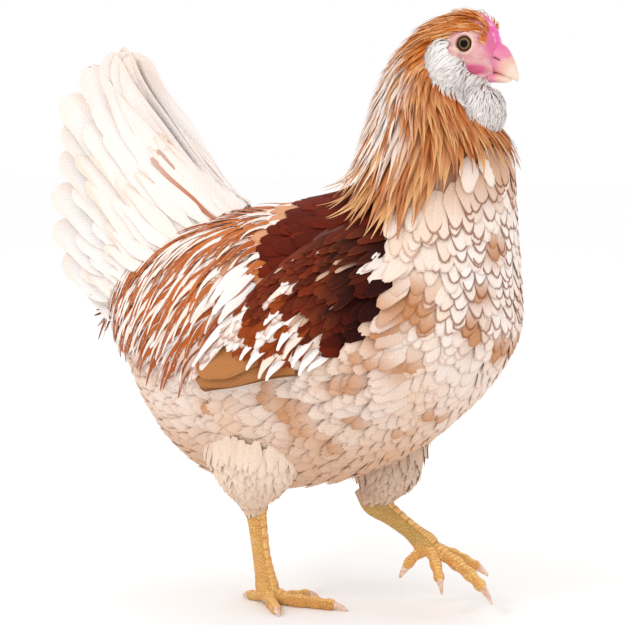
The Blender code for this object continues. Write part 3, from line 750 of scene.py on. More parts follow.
class Coat:
    """Collects feathers and writes them as one mesh."""

    PATCH = 0.003

    def __init__(self, name):
        self.name, self.parts, self.count = name, [], 0

    def add(self, lines, width, look, ground, tip, edge, strength, root_at):
        """Feathers along lines, as wide as width to each side, coloured ground to tip, with edge at the rim.

        A line is the parabola through root, middle and tip: a (1-s)(1-2s) + 4 b s (1-s) + c s (2s-1).
        """
        marks, normals = lines
        n, rings, m = len(marks), look.rings, look.columns
        width = np.broadcast_to(width, (n,))
        ground, tip, edge = (np.broadcast_to(values, (n, 3))[:, None, None, :] for values in (ground, tip, edge))
        strength = np.broadcast_to(strength, (n,))[:, None, None, None]
        length = np.linalg.norm(marks[:, 2] - marks[:, 0], axis=-1)
        t = np.linspace(-1, 1, m)
        round_off = look.blunt * width[:, None] / length[:, None] * (1 - np.sqrt(1 - 0.98 * t**2))
        ends = 1 - round_off - look.jag * rng.uniform(0, 1, (n, m))
        run = np.linspace(0, 1, rings) ** 0.85
        s = run[None, :, None] * ends[:, None, :]
        keel_s = run[None, :] * (0.84 - look.jag) * np.ones((n, 1))
        share = look.stem + (1 - look.stem) * step(0, look.peak, run)
        share = (share * (1 - (1 - look.taper) * step(look.peak, 1.0, run)))[None, :, None]

        def three(rows, s):
            shape = (n,) + (1,) * (s.ndim - 1) + (3,)
            return *(rows[:, k].reshape(shape) for k in range(3)), s[..., None]

        def curve(s, rows):
            a, b, c, s = three(rows, s)
            return a * (1 - s) * (1 - 2 * s) + b * 4 * s * (1 - s) + c * s * (2 * s - 1)

        def slope(s, rows):
            a, b, c, s = three(rows, s)
            return a * (4 * s - 3) + b * (4 - 8 * s) + c * (4 * s - 1)

        along = unit(slope(s, marks))
        side = unit(np.cross(along, curve(s, normals)))
        normal = unit(np.cross(side, along))
        w = width[:, None, None]
        shaft = look.ridge * bell(t, 0.22) * (1 - run[None, :, None] * 0.6)
        dip = look.cup * w * t**2 * share - shaft
        top = curve(s, marks) + side * (w * t * share)[..., None] - normal * dip[..., None]
        shade = unit(normal + side * (2 * look.cup * t)[..., None])
        keel_along = unit(slope(keel_s, marks))
        keel_normal = unit(np.cross(unit(np.cross(keel_along, curve(keel_s, normals))), keel_along))
        keel = curve(keel_s, marks) - keel_normal * (look.thick * (1.3 - run) * np.ones((n, 1)))[..., None]
        points = np.concatenate([top, keel[:, :, None]], axis=2)
        shade = np.concatenate([shade, keel_normal[:, :, None]], axis=2)

        # One map lies across and along the vane from 0 to 1, one in millimetres, and one small patch is for baking.
        s_all = np.concatenate([s, keel_s[..., None]], axis=2)
        vane = np.stack([np.broadcast_to(np.append(t, 0.0) * 0.5 + 0.5, (n, rings, m + 1)), s_all], axis=-1)
        flat = np.concatenate([w * t * share * np.ones((n, 1, 1)), np.zeros((n, rings, 1))], axis=2)
        barb = np.stack([flat, s_all * length[:, None, None]], axis=-1)
        patch = np.column_stack(root_at)[:, None, None, :] + (vane - 0.5) * self.PATCH
        fade = step(0.25, 1.0, s_all)[..., None]
        colour = ground * (1 - fade) + tip * fade
        rim = [np.broadcast_to(edge, colour.shape), np.broadcast_to(strength, colour.shape[:3] + (1,))]
        rim = np.concatenate(rim, axis=-1)

        sides = m + 1
        k = np.arange(rings * sides).reshape(rings, sides)
        nxt = np.roll(k, -1, axis=1)
        a, b, c, d = k[:-1], nxt[:-1], nxt[1:], k[1:]
        above = np.tile(np.arange(sides) < m - 1, 2 * (rings - 1)).reshape(-1)
        facing = np.concatenate([np.where(above, 1.0, -1.0), -np.ones(2 * (m - 1))])
        tris = np.concatenate([
            np.stack([a, b, c], -1).reshape(-1, 3),
            np.stack([a, c, d], -1).reshape(-1, 3),
            np.stack([k[0, 1:-1], k[0, :-2], np.full(m - 1, k[0, -1])], -1),
            np.stack([k[-1, :-2], k[-1, 1:-1], np.full(m - 1, k[-1, -1])], -1),
        ])
        each = rings * sides
        faces = tris[None] + (np.arange(n) * each)[:, None, None] + self.count
        self.count += n * each
        parts = [part.reshape(n * each, -1) for part in (points, shade, vane, barb, patch, colour, rim)]
        self.parts.append([*parts, faces.reshape(-1, 3), np.tile(facing, n)])

    def build(self, material):
        """One object from all the feathers, with its maps, colours and normals."""
        points, shade, vane, barb, patch, colour, rim, faces, facing = map(np.concatenate, zip(*self.parts))
        mesh = bpy.data.meshes.new(self.name)
        mesh.vertices.add(len(points))
        mesh.vertices.foreach_set("co", ((points + PLACE) * 0.001).astype(np.float32).ravel())
        mesh.loops.add(len(faces) * 3)
        mesh.loops.foreach_set("vertex_index", faces.astype(np.int32).ravel())
        mesh.polygons.add(len(faces))
        mesh.polygons.foreach_set("loop_start", np.arange(len(faces), dtype=np.int32) * 3)
        mesh.polygons.foreach_set("loop_total", np.full(len(faces), 3, np.int32))
        for key, values in (("OFBake", patch), ("Vane", vane), ("Barb", barb * 0.001)):
            layer = mesh.uv_layers.new(name=key)
            layer.data.foreach_set("uv", values[faces.ravel()].astype(np.float32).ravel())
        paint(mesh, "Ground", colour)
        paint(mesh, "Rim", rim)
        mesh.update(calc_edges=True)
        mesh.shade_smooth()
        mesh.normals_split_custom_set((shade[faces] * facing[:, None, None]).reshape(-1, 3).tolist())
        mesh.materials.append(material)
        piece = bpy.data.objects.new(self.name, mesh)
        bpy.context.collection.objects.link(piece)
        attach(piece, "root")
        return piece


# Distance between barbs in metres, and how many barbs cling together.
BARB_STEP, CLUMP = 0.0009, 4.3


def feathered(name, gloss, barb_depth=0.00012, rim_from=0.72, beside=0.34, beyond=1.0, rim_width=0.2, level=0.22):
    """Ground colour with its rim colour past rim_from of the vane, fine oblique barbs and a pale shaft."""
    board = Board(name)
    rim = board.colours("Rim")
    vane = board.node("ShaderNodeSeparateXYZ", {}, {0: board.node("ShaderNodeUVMap", {"uv_map": "Vane"})})
    across, along = (vane * 2.0 - 1.0).made("ABSOLUTE"), vane.output(1)
    barb = board.node("ShaderNodeSeparateXYZ", {}, {0: board.node("ShaderNodeUVMap", {"uv_map": "Barb"})})
    oblique = barb.output(1) - barb.made("ABSOLUTE") * 1.3
    ragged = board.noise(900.0, 1.0)
    barbs = (oblique * (6.283 / BARB_STEP) + ragged * 5.0).made("SINE")
    clumps = (oblique * (6.283 / (BARB_STEP * CLUMP)) + ragged * 9.0).made("SINE")
    reach = (across**2.2 * beside + along * beyond).step(rim_from, rim_from + rim_width)
    colour = board.mix(reach * rim.output("Alpha"), board.colours("Ground"), rim)
    shaft = 1.0 - (across + along * 0.05).step(0.03, 0.09)
    tone = 0.97 + barbs * 0.035 + clumps * 0.03 + (ragged - 0.5) * 0.10
    board.bump(barbs * 0.6 + clumps + ragged * 1.2, 0.55, barb_depth)
    return board.surface(board.scaled(colour, tone + shaft * 0.10), gloss, Specular_IOR_Level=level)


# Where the cape's lower edge runs, in x and z, and the flank that lies hidden under the wing.
CAPE_X = (20, 51, 68, 85, 102, 112, 125, 135, 142, 149, 157, 170)
CAPE_Z = (276, 264, 251, 244, 243, 245, 252, 262, 270, 278, 286, 288)
UNDER_WING = ((76, 232), (76, 200), (54, 178), (-8, 168), (-8, 186), (18, 214))


def body_gap(points):
    """Spacing in millimetres: closer at the breast, wider where wing and saddle lie over."""
    hidden = inside(points, UNDER_WING) & (np.abs(points[:, 1]) > 45)
    return np.where(hidden, 12.0, 5.6 - 0.8 * step(100, 150, points[:, 0]) + 0.8 * (1 - step(100, 130, points[:, 2])))


u, v = scatter(body_form, (0.1, 13.6), ALL_ROUND, body_gap, 36000)
roots = body(u, v)
u, v, roots = pick(roots[:, 2] < np.interp(roots[:, 0], CAPE_X, CAPE_Z) + 26, u, v, roots)
x, z = roots[:, 0], roots[:, 2]
n = len(u)
chance = rng.uniform(0, 1, n)
low = 1 - step(95, 150, z)
length = 23 + 7 * chance + 8 * low
width = 7.6 + 1.3 * spread(n) + 1.2 * low
turn = 0.16 * spread(n)
under = -coat_depth(u)
# In front of the wing the feathers lift over its edge.
over_wing = step(58, 74, x) * (1 - step(112, 124, x)) * step(140, 156, z) * (1 - step(234, 250, z))
over_wing = over_wing * step(40, 52, np.abs(roots[:, 1]))
tip_rise = 0.1 + 0.45 * chance + 0.9 * low * chance + (7.5 + 1.8 * step(200, 215, z)) * over_wing
rise = (under * 0.7 + 2 * over_wing, under * 0.17 + 5.0 * over_wing, tip_rise)
lines = strokes(body_form, u, v, length, (turn, turn + 0.16 * spread(n)), rise)
ends = lines[0][:, 2]
ground = body_colour(roots * 0.5 + ends * 0.5, chance)[0]
tip, edge, strength = body_colour(roots * 0.1 + ends * 0.9, chance)
# A feather over the mahogany's border is all dark or all pale.
DARK = 0.12
ground = np.where(((tip.mean(1) < DARK) != (ground.mean(1) < DARK))[:, None], tip, ground)
front = step(60, 130, x) + step(200, 240, z) > 0.9
plumage = feathered("plumage_contour", 0.72, rim_from=0.90, rim_width=0.06, level=0.12)
for name, chosen, look in (
    ("breast_feathers", front, Look(5, 11, blunt=0.95, jag=0.05, taper=0.62, cup=0.12, thick=0.2)),
    ("belly_feathers", ~front, Look(5, 11, blunt=0.8, jag=0.12, taper=0.6, cup=0.12, thick=0.2)),
):
    coat = Coat(name)
    root_at = (v / (2 * np.pi) + 0.5, u / 13.6)
    its_lines, its_width, *its_colours = pick(chosen, lines, width, ground, tip, edge, strength, root_at)
    coat.add(its_lines, its_width, look, *its_colours)
    coat.build(plumage)


# ------------------------------------------------------------------ neck hackle
# Long pointed feathers hang from the nape and throat as a cape. They are orange to buff brown with a pale
# streak, paler on the upper nape and at the frayed lower edge.

hackle = feathered("plumage_hackle", 0.55, rim_from=0.55)
u, v = scatter(body_form, (7.4, 17.4), ALL_ROUND, lambda p: 3.7 - 1.3 * step(300, 345, p[:, 2]), 40000)
u, v = pick((u < 16.0) | (np.cos(v) > 0.45), u, v)
n = len(u)
chance, second = rng.uniform(0, 1, (2, n))
length = (46 - 22 * step(12.5, 16.5, u)) * (0.85 + 0.3 * chance)
turn = 0.08 * spread(n)
under = -coat_depth(u)
rise = (under * 0.8, under * 0.2 + 1.5, 2.6 + 2.4 * chance)
lines = strokes(body_form, u, v, length, (turn, turn + 0.12 * spread(n)), rise)
tips = lines[0][:, 2]
keep = tips[:, 2] > np.interp(tips[:, 0], CAPE_X, CAPE_Z) - 5 * second
u, v, chance, second, lines = pick(keep, u, v, chance, second, lines)
roots = body(u, v)
width = (2.7 - 1.1 * step(13, 16.5, u)) * (0.8 + 0.4 * second)
streak = hash_noise(np.column_stack([v * 40, u * 1.5, 0 * u]), (4.0, 3.0, 1.0), 8)
nape = step(-0.1, 0.6, np.cos(v)) * step(11.6, 13.0, u) * (1 - step(15.2, 16.2, u))
nape = nape * step(8, 20, np.abs(roots[:, 1]))
buff_low = (1 - step(10.2, 12.6, u)) * (1 - 0.5 * step(130, 150, roots[:, 0]))
ground = blend(
    ORANGE,
    (RUST, 0.8 * step(0.35, 0.8, streak) * chance),
    (tint(242, 196, 142), 0.7 * (second > 0.6) * (0.35 + 0.65 * nape)),
    (WHITE, 0.85 * nape * (chance > 0.4)),
    (tint(206, 140, 80), 0.65 * buff_low),
)
tip = blend(
    ground,
    (tint(238, 196, 148), 0.3 + 0.4 * buff_low),
    (RUST, 0.3 * (1 - buff_low) * (second < 0.5)),
    (WHITE, 0.8 * nape * (chance > 0.4)),
)
edge = blend(tint(234, 182, 120), (RUST, (chance < 0.5) * 1.0))
strength = (0.3 + 0.4 * chance) * (1 - 0.75 * nape)
look = Look(7, 5, blunt=1.6, jag=0.08, cup=0.25, stem=0.5, peak=0.35, taper=0.12)
coat = Coat("neck_hackle")
coat.add(lines, width, look, ground, tip, edge, strength, (v / (2 * np.pi) + 0.5, (u - 7) / 10.6))
coat.build(hackle)


# ------------------------------------------------------------------ crown
# Short hair-like orange feathers sweep back from the brow over the skull, and bristle over the eye. They leave
# the comb, the face and the eye bare.

u, v = scatter(body_form, (15.2, 19.3), ALL_ROUND, 1.55, 26000)
roots = body(u, v)
x, z, side = roots[:, 0], roots[:, 2], np.abs(roots[:, 1])
brow = z > 369.5 - 0.10 * (x - 118) - 5.0 * (1 - step(96, 122, x)) - 4.0 * step(138, 146, x)
rear = (x < 112 + 0.16 * (366 - z)) & (z > 330)
off_comb = ((side > 4.6) | (u < 18.0)) & (u < 19.7) & ((u < 19.2) | (side > 5.2))
u, v, roots, side = pick((brow | rear) & off_comb, u, v, roots, side)
n = len(u)
chance, second = rng.uniform(0, 1, (2, n))
length = (13 - 5.0 * step(17, 19.2, u)) * (0.8 + 0.4 * chance)
turn = (0.30 * step(16.5, 18.5, u) + 0.12 * spread(n)) * np.sign(np.sin(v))
crest = step(17.2, 18.2, u) * (1 - step(8, 11, side))
rise = (-coat_depth(u), 0.4 + 2.0 * crest, 0.7 + 1.0 * chance + 3.2 * crest)
lines = strokes(body_form, u, v, length, (turn, turn), rise)


def off_eye(lines):
    """How near each feather's root, middle or tip comes to the eye, seen from the side."""
    return np.hypot(lines[0][:, :, 0] - EYE[0], lines[0][:, :, 2] - EYE[2]).min(1)


lines, u, v, chance, second = pick((off_eye(lines) > 8.2) | (side < 7), lines, u, v, chance, second)
ground = blend(tint(224, 126, 44), (tint(184, 88, 24), chance * 0.7), (tint(244, 190, 130), 0.75 * (second > 0.75)))
tip = blend(ground, (tint(240, 170, 90), 0.35))
look = Look(4, 3, blunt=1.5, stem=0.7, taper=0.2, thick=0.2, ridge=0.0)
coat = Coat("crown_feathers")
coat.add(lines, 0.75 + 0.25 * chance, look, ground, tip, ground, 0.0, (v / (2 * np.pi) + 0.5, (u - 15) / 5))
coat.build(hackle)


# ------------------------------------------------------------------ muffs and beard
# Soft white tufts of hair-fine feathers puff out over the ears and under the chin, with a dark crease between
# them. The chin and throat are white between the tufts.

down = feathered("plumage_down", 0.85, barb_depth=0.0001)
hair = Look(4, 3, blunt=1.5, stem=0.7, thick=0.12, cup=0.1, ridge=0.0)
coat = Coat("beard_and_muffs")
cheek, fuller = MUFF[0] - (2.5, 1.0, 0), MUFF[1] + (1.0, 0, 1.0)


def downy(chance):
    """White to pale cream by chance."""
    return blend(tint(252, 248, 246), (tint(240, 226, 218), chance * 0.6))


for centre, radii, pole, shift in (
    (*BEARD, (0.30, 0, 0.95), 0.0),
    (cheek, fuller, (0.72, -0.60, 0.40), 0.34),
    (cheek * (1, -1, 1), fuller, (0.72, 0.60, 0.40), 0.67),
):
    form = Form(tuft(centre, radii, pole), (1.5, 0.5), centre)
    u, v = scatter(form, (0.12, 2.75), (0, 2 * np.pi), 1.05, 26000)
    chance, second = rng.uniform(0, 1, (2, len(u)))
    turn = 0.16 * spread(len(u))
    turns, rise = (turn, turn + 0.25 * spread(len(u))), (-2.5, -0.3 + 0.6 * second, 0.4 + 2.0 * chance)
    lines = strokes(form, u, v, 13 + 5 * chance, turns, rise, flow=1.0, ends=(0.05, 3.0))
    lines, u, v, chance, second = pick(off_eye(lines) > 8.6, lines, u, v, chance, second)
    crease = step(0.0, 1.0, second) * near(form.at(u, v) * (1, 0, 1), (112, 0, 345), (9, 1, 22))
    ground = blend(downy(chance), (tint(190, 120, 70), crease * (chance > 0.6)))
    tip, root_at = blend(ground, (WHITE, 0.6)), (v / (6 * np.pi) + shift, u / 3.2)
    coat.add(lines, 0.52 + 0.25 * chance, hair, ground, tip, ground, 0.0, root_at)
u, v = scatter(body_form, (15.6, 19.5), (0.60 * np.pi, 1.40 * np.pi), 1.2, 20000)
u, v = pick(np.abs(v - np.pi) < np.pi * (0.40 - 0.22 * step(16.4, 18.0, u)), u, v)
n = len(u)
chance, second = rng.uniform(0, 1, (2, n))
length = (12 + 5 * chance) * (1 - 0.45 * step(17.5, 19.3, u))
rise = (-1.5, 0.6 + 0.8 * second, 2.0 + 3.0 * chance)
lines = strokes(body_form, u, v, length, (0.12 * spread(n), 0.2 * spread(n)), rise)
ground, root_at = downy(chance), (v / (6 * np.pi), u / 20 * 0.2 + 0.8)
coat.add(lines, 0.65 + 0.3 * chance, hair, ground, blend(ground, (WHITE, 0.6)), ground, 0.0, root_at)
coat.build(down)


# ------------------------------------------------------------------ thighs
# Loose cream and taupe feathers sheathe each thigh and shorten down to the hock. The left thigh, on the side away
# from the light, is browner.

coat = Coat("thigh_feathers")
for sign in (-1, 1):
    form = Form(limb(THIGHS[sign]), (2.0, 0.0), THIGHS[sign][2][:3])
    u, v = scatter(form, (0.7, 3.6), ALL_ROUND, lambda p: 3.6 + 1.6 * step(75, 110, p[:, 2]), 12000)
    n = len(u)
    chance = rng.uniform(0, 1, (2, n))[0]
    roots = form.at(u, v)
    small = 1 - step(70, 100, roots[:, 2])
    turns = (0.15 * spread(n), 0.2 * spread(n))
    rise = (-4.5 + 2.5 * small, -1.5 + 1.0 * small, 1.0 + 1.5 * chance - 2.2 * small)
    lines = strokes(form, u, v, 20 - 11 * small + 5 * chance, turns, rise, flow=1.0, ends=(0.02, 3.95))
    taupe = (0.25 + 0.6 * step(0.3, 0.9, hash_noise(roots, 14.0, 12)) + 0.25 * chance) * (0.35 + 0.65 * small)
    ground = blend(tint(246, 224, 204), (tint(206, 158, 118), taupe), (tint(176, 134, 100), 0.5 * (sign > 0)))
    root_at = (v / (4 * np.pi) + 0.25 + 0.5 * (sign > 0), u / 4)
    look, tip = Look(5, 7, jag=0.18, taper=0.5), blend(ground, (CREAM, 0.35))
    coat.add(lines, 5.2 - 2.2 * small, look, ground, tip, ground * 0.8, 0.2, root_at)
coat.build(feathered("plumage_loose", 0.8))


# ------------------------------------------------------------------ wings
# Each folded wing has a mahogany shoulder with pale flecks, white coverts striped with brown edges, and a
# smooth tan bay where the folded flight feathers show. They point back and down to the wing's tip.

BAY = ((-80, 120), (-80, 158), (-26, 157), (-2, 181), (12, 174), (28, 167), (50, 161), (60, 150), (60, 120))
# Long feathers drawn one by one: root x, z, tip x, z, half width, stand-off, colour. The first three are the bay, their
# tan scaled down as painted shade the deeper the feather lies; the three upper white flights after them are slightly
# scaled down as painted shade too.
FLIGHTS = (
    (51, 162, -22, 150, 5.4, 5.6, TAN * 0.56), (47, 164, -23, 155, 8.8, 7.6, TAN * 0.80),
    (31, 171, -21, 162, 10.5, 9.2, TAN * 0.90), (9, 229, -11, 203, 5.8, 10.4, WHITE * 0.93),
    (13, 223, -8, 196, 5.8, 10.6, WHITE * 0.93), (15, 216, -3, 191, 5.6, 10.7, WHITE * 0.88),
    (27, 197, 9, 175, 3.4, 11.4, WHITE), (31, 192, 13, 169, 3.6, 11.6, WHITE), (35, 185, 17, 163, 3.8, 11.7, WHITE),
    (38, 180, 25, 158, 4.0, 11.4, CREAM), (42, 174, 30, 157, 4.0, 11.6, WHITE), (21, 209, -23, 162, 3.6, 11.9, WHITE),
    (23, 205, 3, 182, 3.6, 11.6, WHITE), (55, 224, 31, 206, 3.6, 12.0, CREAM), (52, 214, 30, 192, 4.6, 12.1, WHITE),
    (48, 204, 32, 183, 4.4, 11.8, WHITE), (52, 198, 39, 176, 4.0, 12.0, WHITE), (56, 193, 43, 171, 4.2, 12.1, CREAM),
    (60, 187, 48, 166, 4.2, 11.8, WHITE), (64, 181, 52, 161, 4.2, 12.0, WHITE), (69, 175, 58, 164, 4.0, 12.1, WHITE),
)
flights = np.array([(*row[:6], *row[6]) for row in FLIGHTS])
in_bay = np.arange(len(flights)) < 3
# Chance above which a mahogany covert is a narrow pale fleck.
FLECKED = 0.94


def wing_colour(points, chance, second):
    """Ground, tip, edge and edge strength of a covert seen here, with a painted highlight on some mahogany tips."""
    x, z = points[:, 0], points[:, 2]
    dark = inside(points + np.column_stack([3.0 * (chance - 0.5), 0 * chance, 3.0 * (second - 0.5)]), SHOULDER)
    ground = blend(WHITE, (CREAM, chance), (BUFF, step(70, 84, x) * (1 - step(172, 184, z)) * 0.7))
    rusty = (second > 0.45) & (x > 14) & (x < 66)
    ground = np.where(rusty[:, None], blend(RUST, (MAHOGANY, 0.3)), ground)
    shade = blend(MAHOGANY, (DEEP, np.clip(chance * 0.7 + 0.7 * step(50, 84, x), 0, 1)))
    ground = np.where(dark[:, None], shade, ground)
    # Painted highlight: on about half the mahogany coverts the tip is blended towards a brighter red-brown.
    tip = np.where(dark[:, None], blend(shade, (tint(150, 66, 28), 0.5 * second)), ground)
    tip = np.where((dark & (second > FLECKED))[:, None], blend(tip, (PALE, 0.75)), tip)
    edge = np.where(dark[:, None], tint(134, 56, 24), blend(RUST, (MAHOGANY, second * 0.6)))
    return ground, tip, edge, np.where(dark, 0.25, np.where(chance > 0.5, 0.6, 0.1))


smoothed = feathered("plumage_covert", 0.5, rim_from=0.80, level=0.1)
striped = feathered("plumage_striped", 0.5, rim_from=0.56, beside=1.0, beyond=0.12, barb_depth=0.00008)
for sign, label in ((-1, "right"), (1, "left")):
    form = Form(wing(sign), (3.0, 1.5), (32, 0, 199))
    u, v = scatter(form, (0.12, 5.6), (0.12, 2.95), 4.2, 14000)
    roots = form.at(u, v)
    # The bay's corner stays clear of coverts.
    u, v, roots = pick(~inside(roots + (-13, 0, -17), BAY), u, v, roots)
    n = len(u)
    chance, second = rng.uniform(0, 1, (2, n))
    back = 1 - step(5, 50, roots[:, 0])
    width = (4.2 + 1.0 * second) * np.where(second > FLECKED, 0.45, 1.0)
    turn = 0.75 + 0.12 * spread(n) + 0.1 * back
    length, rise = 19 + 4 * chance + 6 * back, (-5.0, -1.5, 0.8 + 0.8 * chance)
    lines = strokes(form, u, v, length, (turn, turn + 0.1), rise, flow=1.0, ends=(0.05, 6.9))
    colours = wing_colour(lines[0][:, 0] * 0.35 + lines[0][:, 2] * 0.65, chance, second)
    coat = Coat("wing_coverts_" + label)
    coat.add(lines, width, Look(5, 7, blunt=1.0, jag=0.09, taper=0.55, cup=0.12), *colours, (v / np.pi, u / 7))
    coat.build(smoothed)

    root, end, colour = flights[:, 0:2], flights[:, 2:4], flights[:, 6:9]
    middle = (root + end) / 2 + np.column_stack([-(end - root)[:, 1], (end - root)[:, 0]]) * -0.03
    marks = []
    for spot, bay_rise, rise, more in ((root, 0.7, 0.1, 0), (middle, 1.0, 0.85, 0.6), (end, 0.9, 0.92, 1.4)):
        off = cubic_terms(spot[:, 0], spot[:, 1]) @ flank_fit + flights[:, 5] * np.where(in_bay, bay_rise, rise) + more
        marks.append(np.stack([spot[:, 0], sign * off, spot[:, 1]], axis=-1))
    marks = np.stack(marks, axis=1)
    flat = np.broadcast_to(unit(np.array((-0.15, sign * 1.0, 0.12))), marks.shape)
    # Painted shade: the bay feathers' rims are their own tan darkened to three quarters, where they overlap.
    edge, strength = np.where(in_bay[:, None], colour * 0.75, RUST), np.where(in_bay, 0.35, 0.9)
    root_at = ((root[:, 0] + 60) / 200, (root[:, 1] - 120) / 160)
    coat = Coat("wing_flights_" + label)
    for chosen, look in (
        (in_bay, Look(18, 11, blunt=0.95, jag=0.006, cup=0.05, stem=0.3, peak=0.72, taper=0.86, ridge=0.2)),
        (~in_bay, Look(16, 9, blunt=1.4, jag=0.03, cup=0.08, stem=0.6, peak=0.45, taper=0.4, ridge=0.2)),
    ):
        things = ((marks, flat), flights[:, 4], colour, colour, edge, strength, root_at)
        its_lines, its_width, *rest = pick(chosen, *things)
        coat.add(its_lines, its_width, look, *rest)
    coat.build(striped)


# ------------------------------------------------------------------ saddle
# Long narrow feathers rise at the back and fall over the rump, striped orange and white. They start where the
# mahogany of the back ends, and end rusty at the flank.

u, v = scatter(body_form, (0.9, 6.4), (-2.1, 2.1), 4.3, 24000)
roots = body(u, v)
u, v, roots = pick((roots[:, 0] < 38 - 0.25 * (roots[:, 2] - 200)) & (roots[:, 2] > 172), u, v, roots)
n = len(u)
chance, second = rng.uniform(0, 1, (2, n))
length = (50 + 12 * chance) * (1 - 0.5 * step(0, 24, roots[:, 0]))
aside = np.sign(v) * step(0.1, 0.6, np.abs(v))
turns = ((0.35 + 0.06 * spread(n)) * aside, (1.05 + 0.1 * spread(n)) * aside)
lines = strokes(body_form, u, v, length, turns, (-7.0, 0.2 + 1.0 * chance, 1.6 + 2.2 * chance))
off_back = ~inside(lines[0][:, 2] + (3, 0, 2), SHOULDER)
lines, u, v, roots, chance, second = pick(off_back, lines, u, v, roots, chance, second)
stripe = (second > 0.5)[:, None]
ground = np.where(stripe, blend(ORANGE, (RUST, 0.8 * chance)), blend(WHITE, (PALE, chance * 0.5)))
low = 1 - step(178, 208, roots[:, 2] - 0.3 * roots[:, 0])
tip = blend(ground, (RUST, 0.75 * low * (chance > 0.35)))
look, strength = Look(9, 5, blunt=1.6, jag=0.04, cup=0.2, stem=0.6, taper=0.25), 0.3 + 0.5 * (chance > 0.5)
coat = Coat("saddle_feathers")
root_at = (v / 4.4 + 0.5, u / 6.6)
coat.add(lines, 3.0 + 0.9 * second, look, ground, tip, np.where(stripe, WHITE, RUST), strength, root_at)
falling = feathered("plumage_saddle", 0.5, rim_from=0.55, beside=1.0, beyond=0.2, barb_depth=0.00008)
coat.build(falling)


# ------------------------------------------------------------------ tail
# Broad white quills fan upright in two halves that lean together like a tent. Shorter coverts lie over their base
# in rows, a few of the foremost rusty.

# Tip x and z, root x and z, half width at the root, and how far the feather bows.
TAIL = (
    (-109, 367, -24, 258, 5, 17), (-128, 370, -33, 256, 10, 12), (-155, 353, -42, 250, 18, 6),
    (-165, 327, -50, 240, 26, 0), (-166, 294, -58, 230, 34, 0), (-169, 257, -66, 220, 40, 2),
    (-161, 228, -74, 210, 42, 4), (-138, 207, -82, 200, 38, 4),
)
QUILLS = np.array((0.10, 0.6, 1.1, 1.7, 2.75, 3.3, 3.9, 4.6, 5.3, 6.1, 6.9))
# Rows of coverts: how many, reach, how far out, half width, share of rust, and the last place in the fan.
COVERTS = (
    (9, 0.80, 0.92, 16.0, 0.0, 7.0), (10, 0.66, 1.05, 14.0, 0.0, 7.0), (12, 0.50, 1.14, 11.0, 0.0, 7.0),
    (7, 0.46, 1.22, 2.7, 1.0, 1.7), (12, 0.42, 1.24, 6.0, 0.0, 7.0),
)


def tail_place(row, share, out):
    """From root to tip by share, bowed by the sag; out from the middle plane by the width, which falls with share."""
    rows = smooth(TAIL, row)
    root, tip = rows[..., 2:4], rows[..., 0:2]
    across = unit(np.stack([-(tip - root)[..., 1], (tip - root)[..., 0]], axis=-1))
    bow = (rows[..., 5] * 4 * share * (1 - share))[..., None]
    line = root + (tip - root) * share[..., None] + across * bow
    return np.stack([line[..., 0], out * rows[..., 4] * (1 - 0.65 * share), line[..., 1]], axis=-1)


def tail_row(rows, reach, out, width, look, ground, tip, edge, strength, tilt):
    """Feathers in the tail's fan as far along its length as reach, and as far out as given."""
    stages = ((0.0, 1.0), (0.5, 0.95), (1.0, 0.9))
    marks = np.stack([tail_place(rows, reach * share, out * lean) for share, lean in stages], axis=1)
    beside = np.stack([tail_place(rows + d, np.full(len(rows), 0.8), out) for d in (-0.1, 0.0, 0.1)])
    fan = unit(np.gradient(beside, axis=0)[1])
    flat = unit(np.array((0.25, 0.0, 0.35)) + np.sign(out)[:, None] * np.array((0, 1.0, 0)) - fan * tilt)
    root_at = (np.clip(out * 0.3 + 0.5, 0, 1), rows / 7)
    coat.add((marks, np.stack([flat] * 3, axis=1)), width, look, ground, tip, edge, strength, root_at)


coat = Coat("tail_feathers")
quill = Look(22, 13, blunt=0.8, jag=0.010, cup=0.12, stem=0.35, peak=0.6, taper=0.66, thick=0.5, ridge=0.4)
covert = Look(12, 11, blunt=0.9, jag=0.02, taper=0.55)
for sign in (-1.0, 1.0):
    reach, out = 0.93 + 0.06 * rng.uniform(0, 1, len(QUILLS)), sign * np.linspace(0.30, 0.75, len(QUILLS))
    white = tint(249, 242, 238)
    tail_row(QUILLS, reach, out, 19.5, quill, white, white, blend(CREAM, (PALE, 0.4)), 0.4, 0.35)
    for count, reach, out, wide, rust, last in COVERTS:
        rows = np.clip(np.linspace(0.2, last, count) + 0.1 * spread(count), 0, 7)
        chance, second = rng.uniform(0, 1, (2, count))
        rusty = 0.9 * rust * (np.arange(count) % 2 == 0)
        ground = blend(tint(250, 242, 237), (CREAM, 0.5 * chance), (blend(ORANGE, (RUST, 0.5)), rusty))
        reach, out, width = reach * (0.9 + 0.2 * chance), sign * np.full(count, out), wide * (0.85 + 0.3 * second)
        strength = np.where(chance > 0.6, 0.5, 0.1)
        tail_row(rows, reach, out, width, covert, ground, blend(ground, (WHITE, 0.3)), PALE, strength, 0.2)
tail_white = feathered("plumage_tail", 0.6, rim_from=0.85, barb_depth=0.00006)
coat.build(tail_white)


# ------------------------------------------------------------------ scutes
# Hard ochre plates grow from the skin in a double row down the front of each shank and singly over the top of
# each toe, each edge overlapping the next.

AROUND = np.linspace(0, 2 * np.pi, 72, endpoint=False)


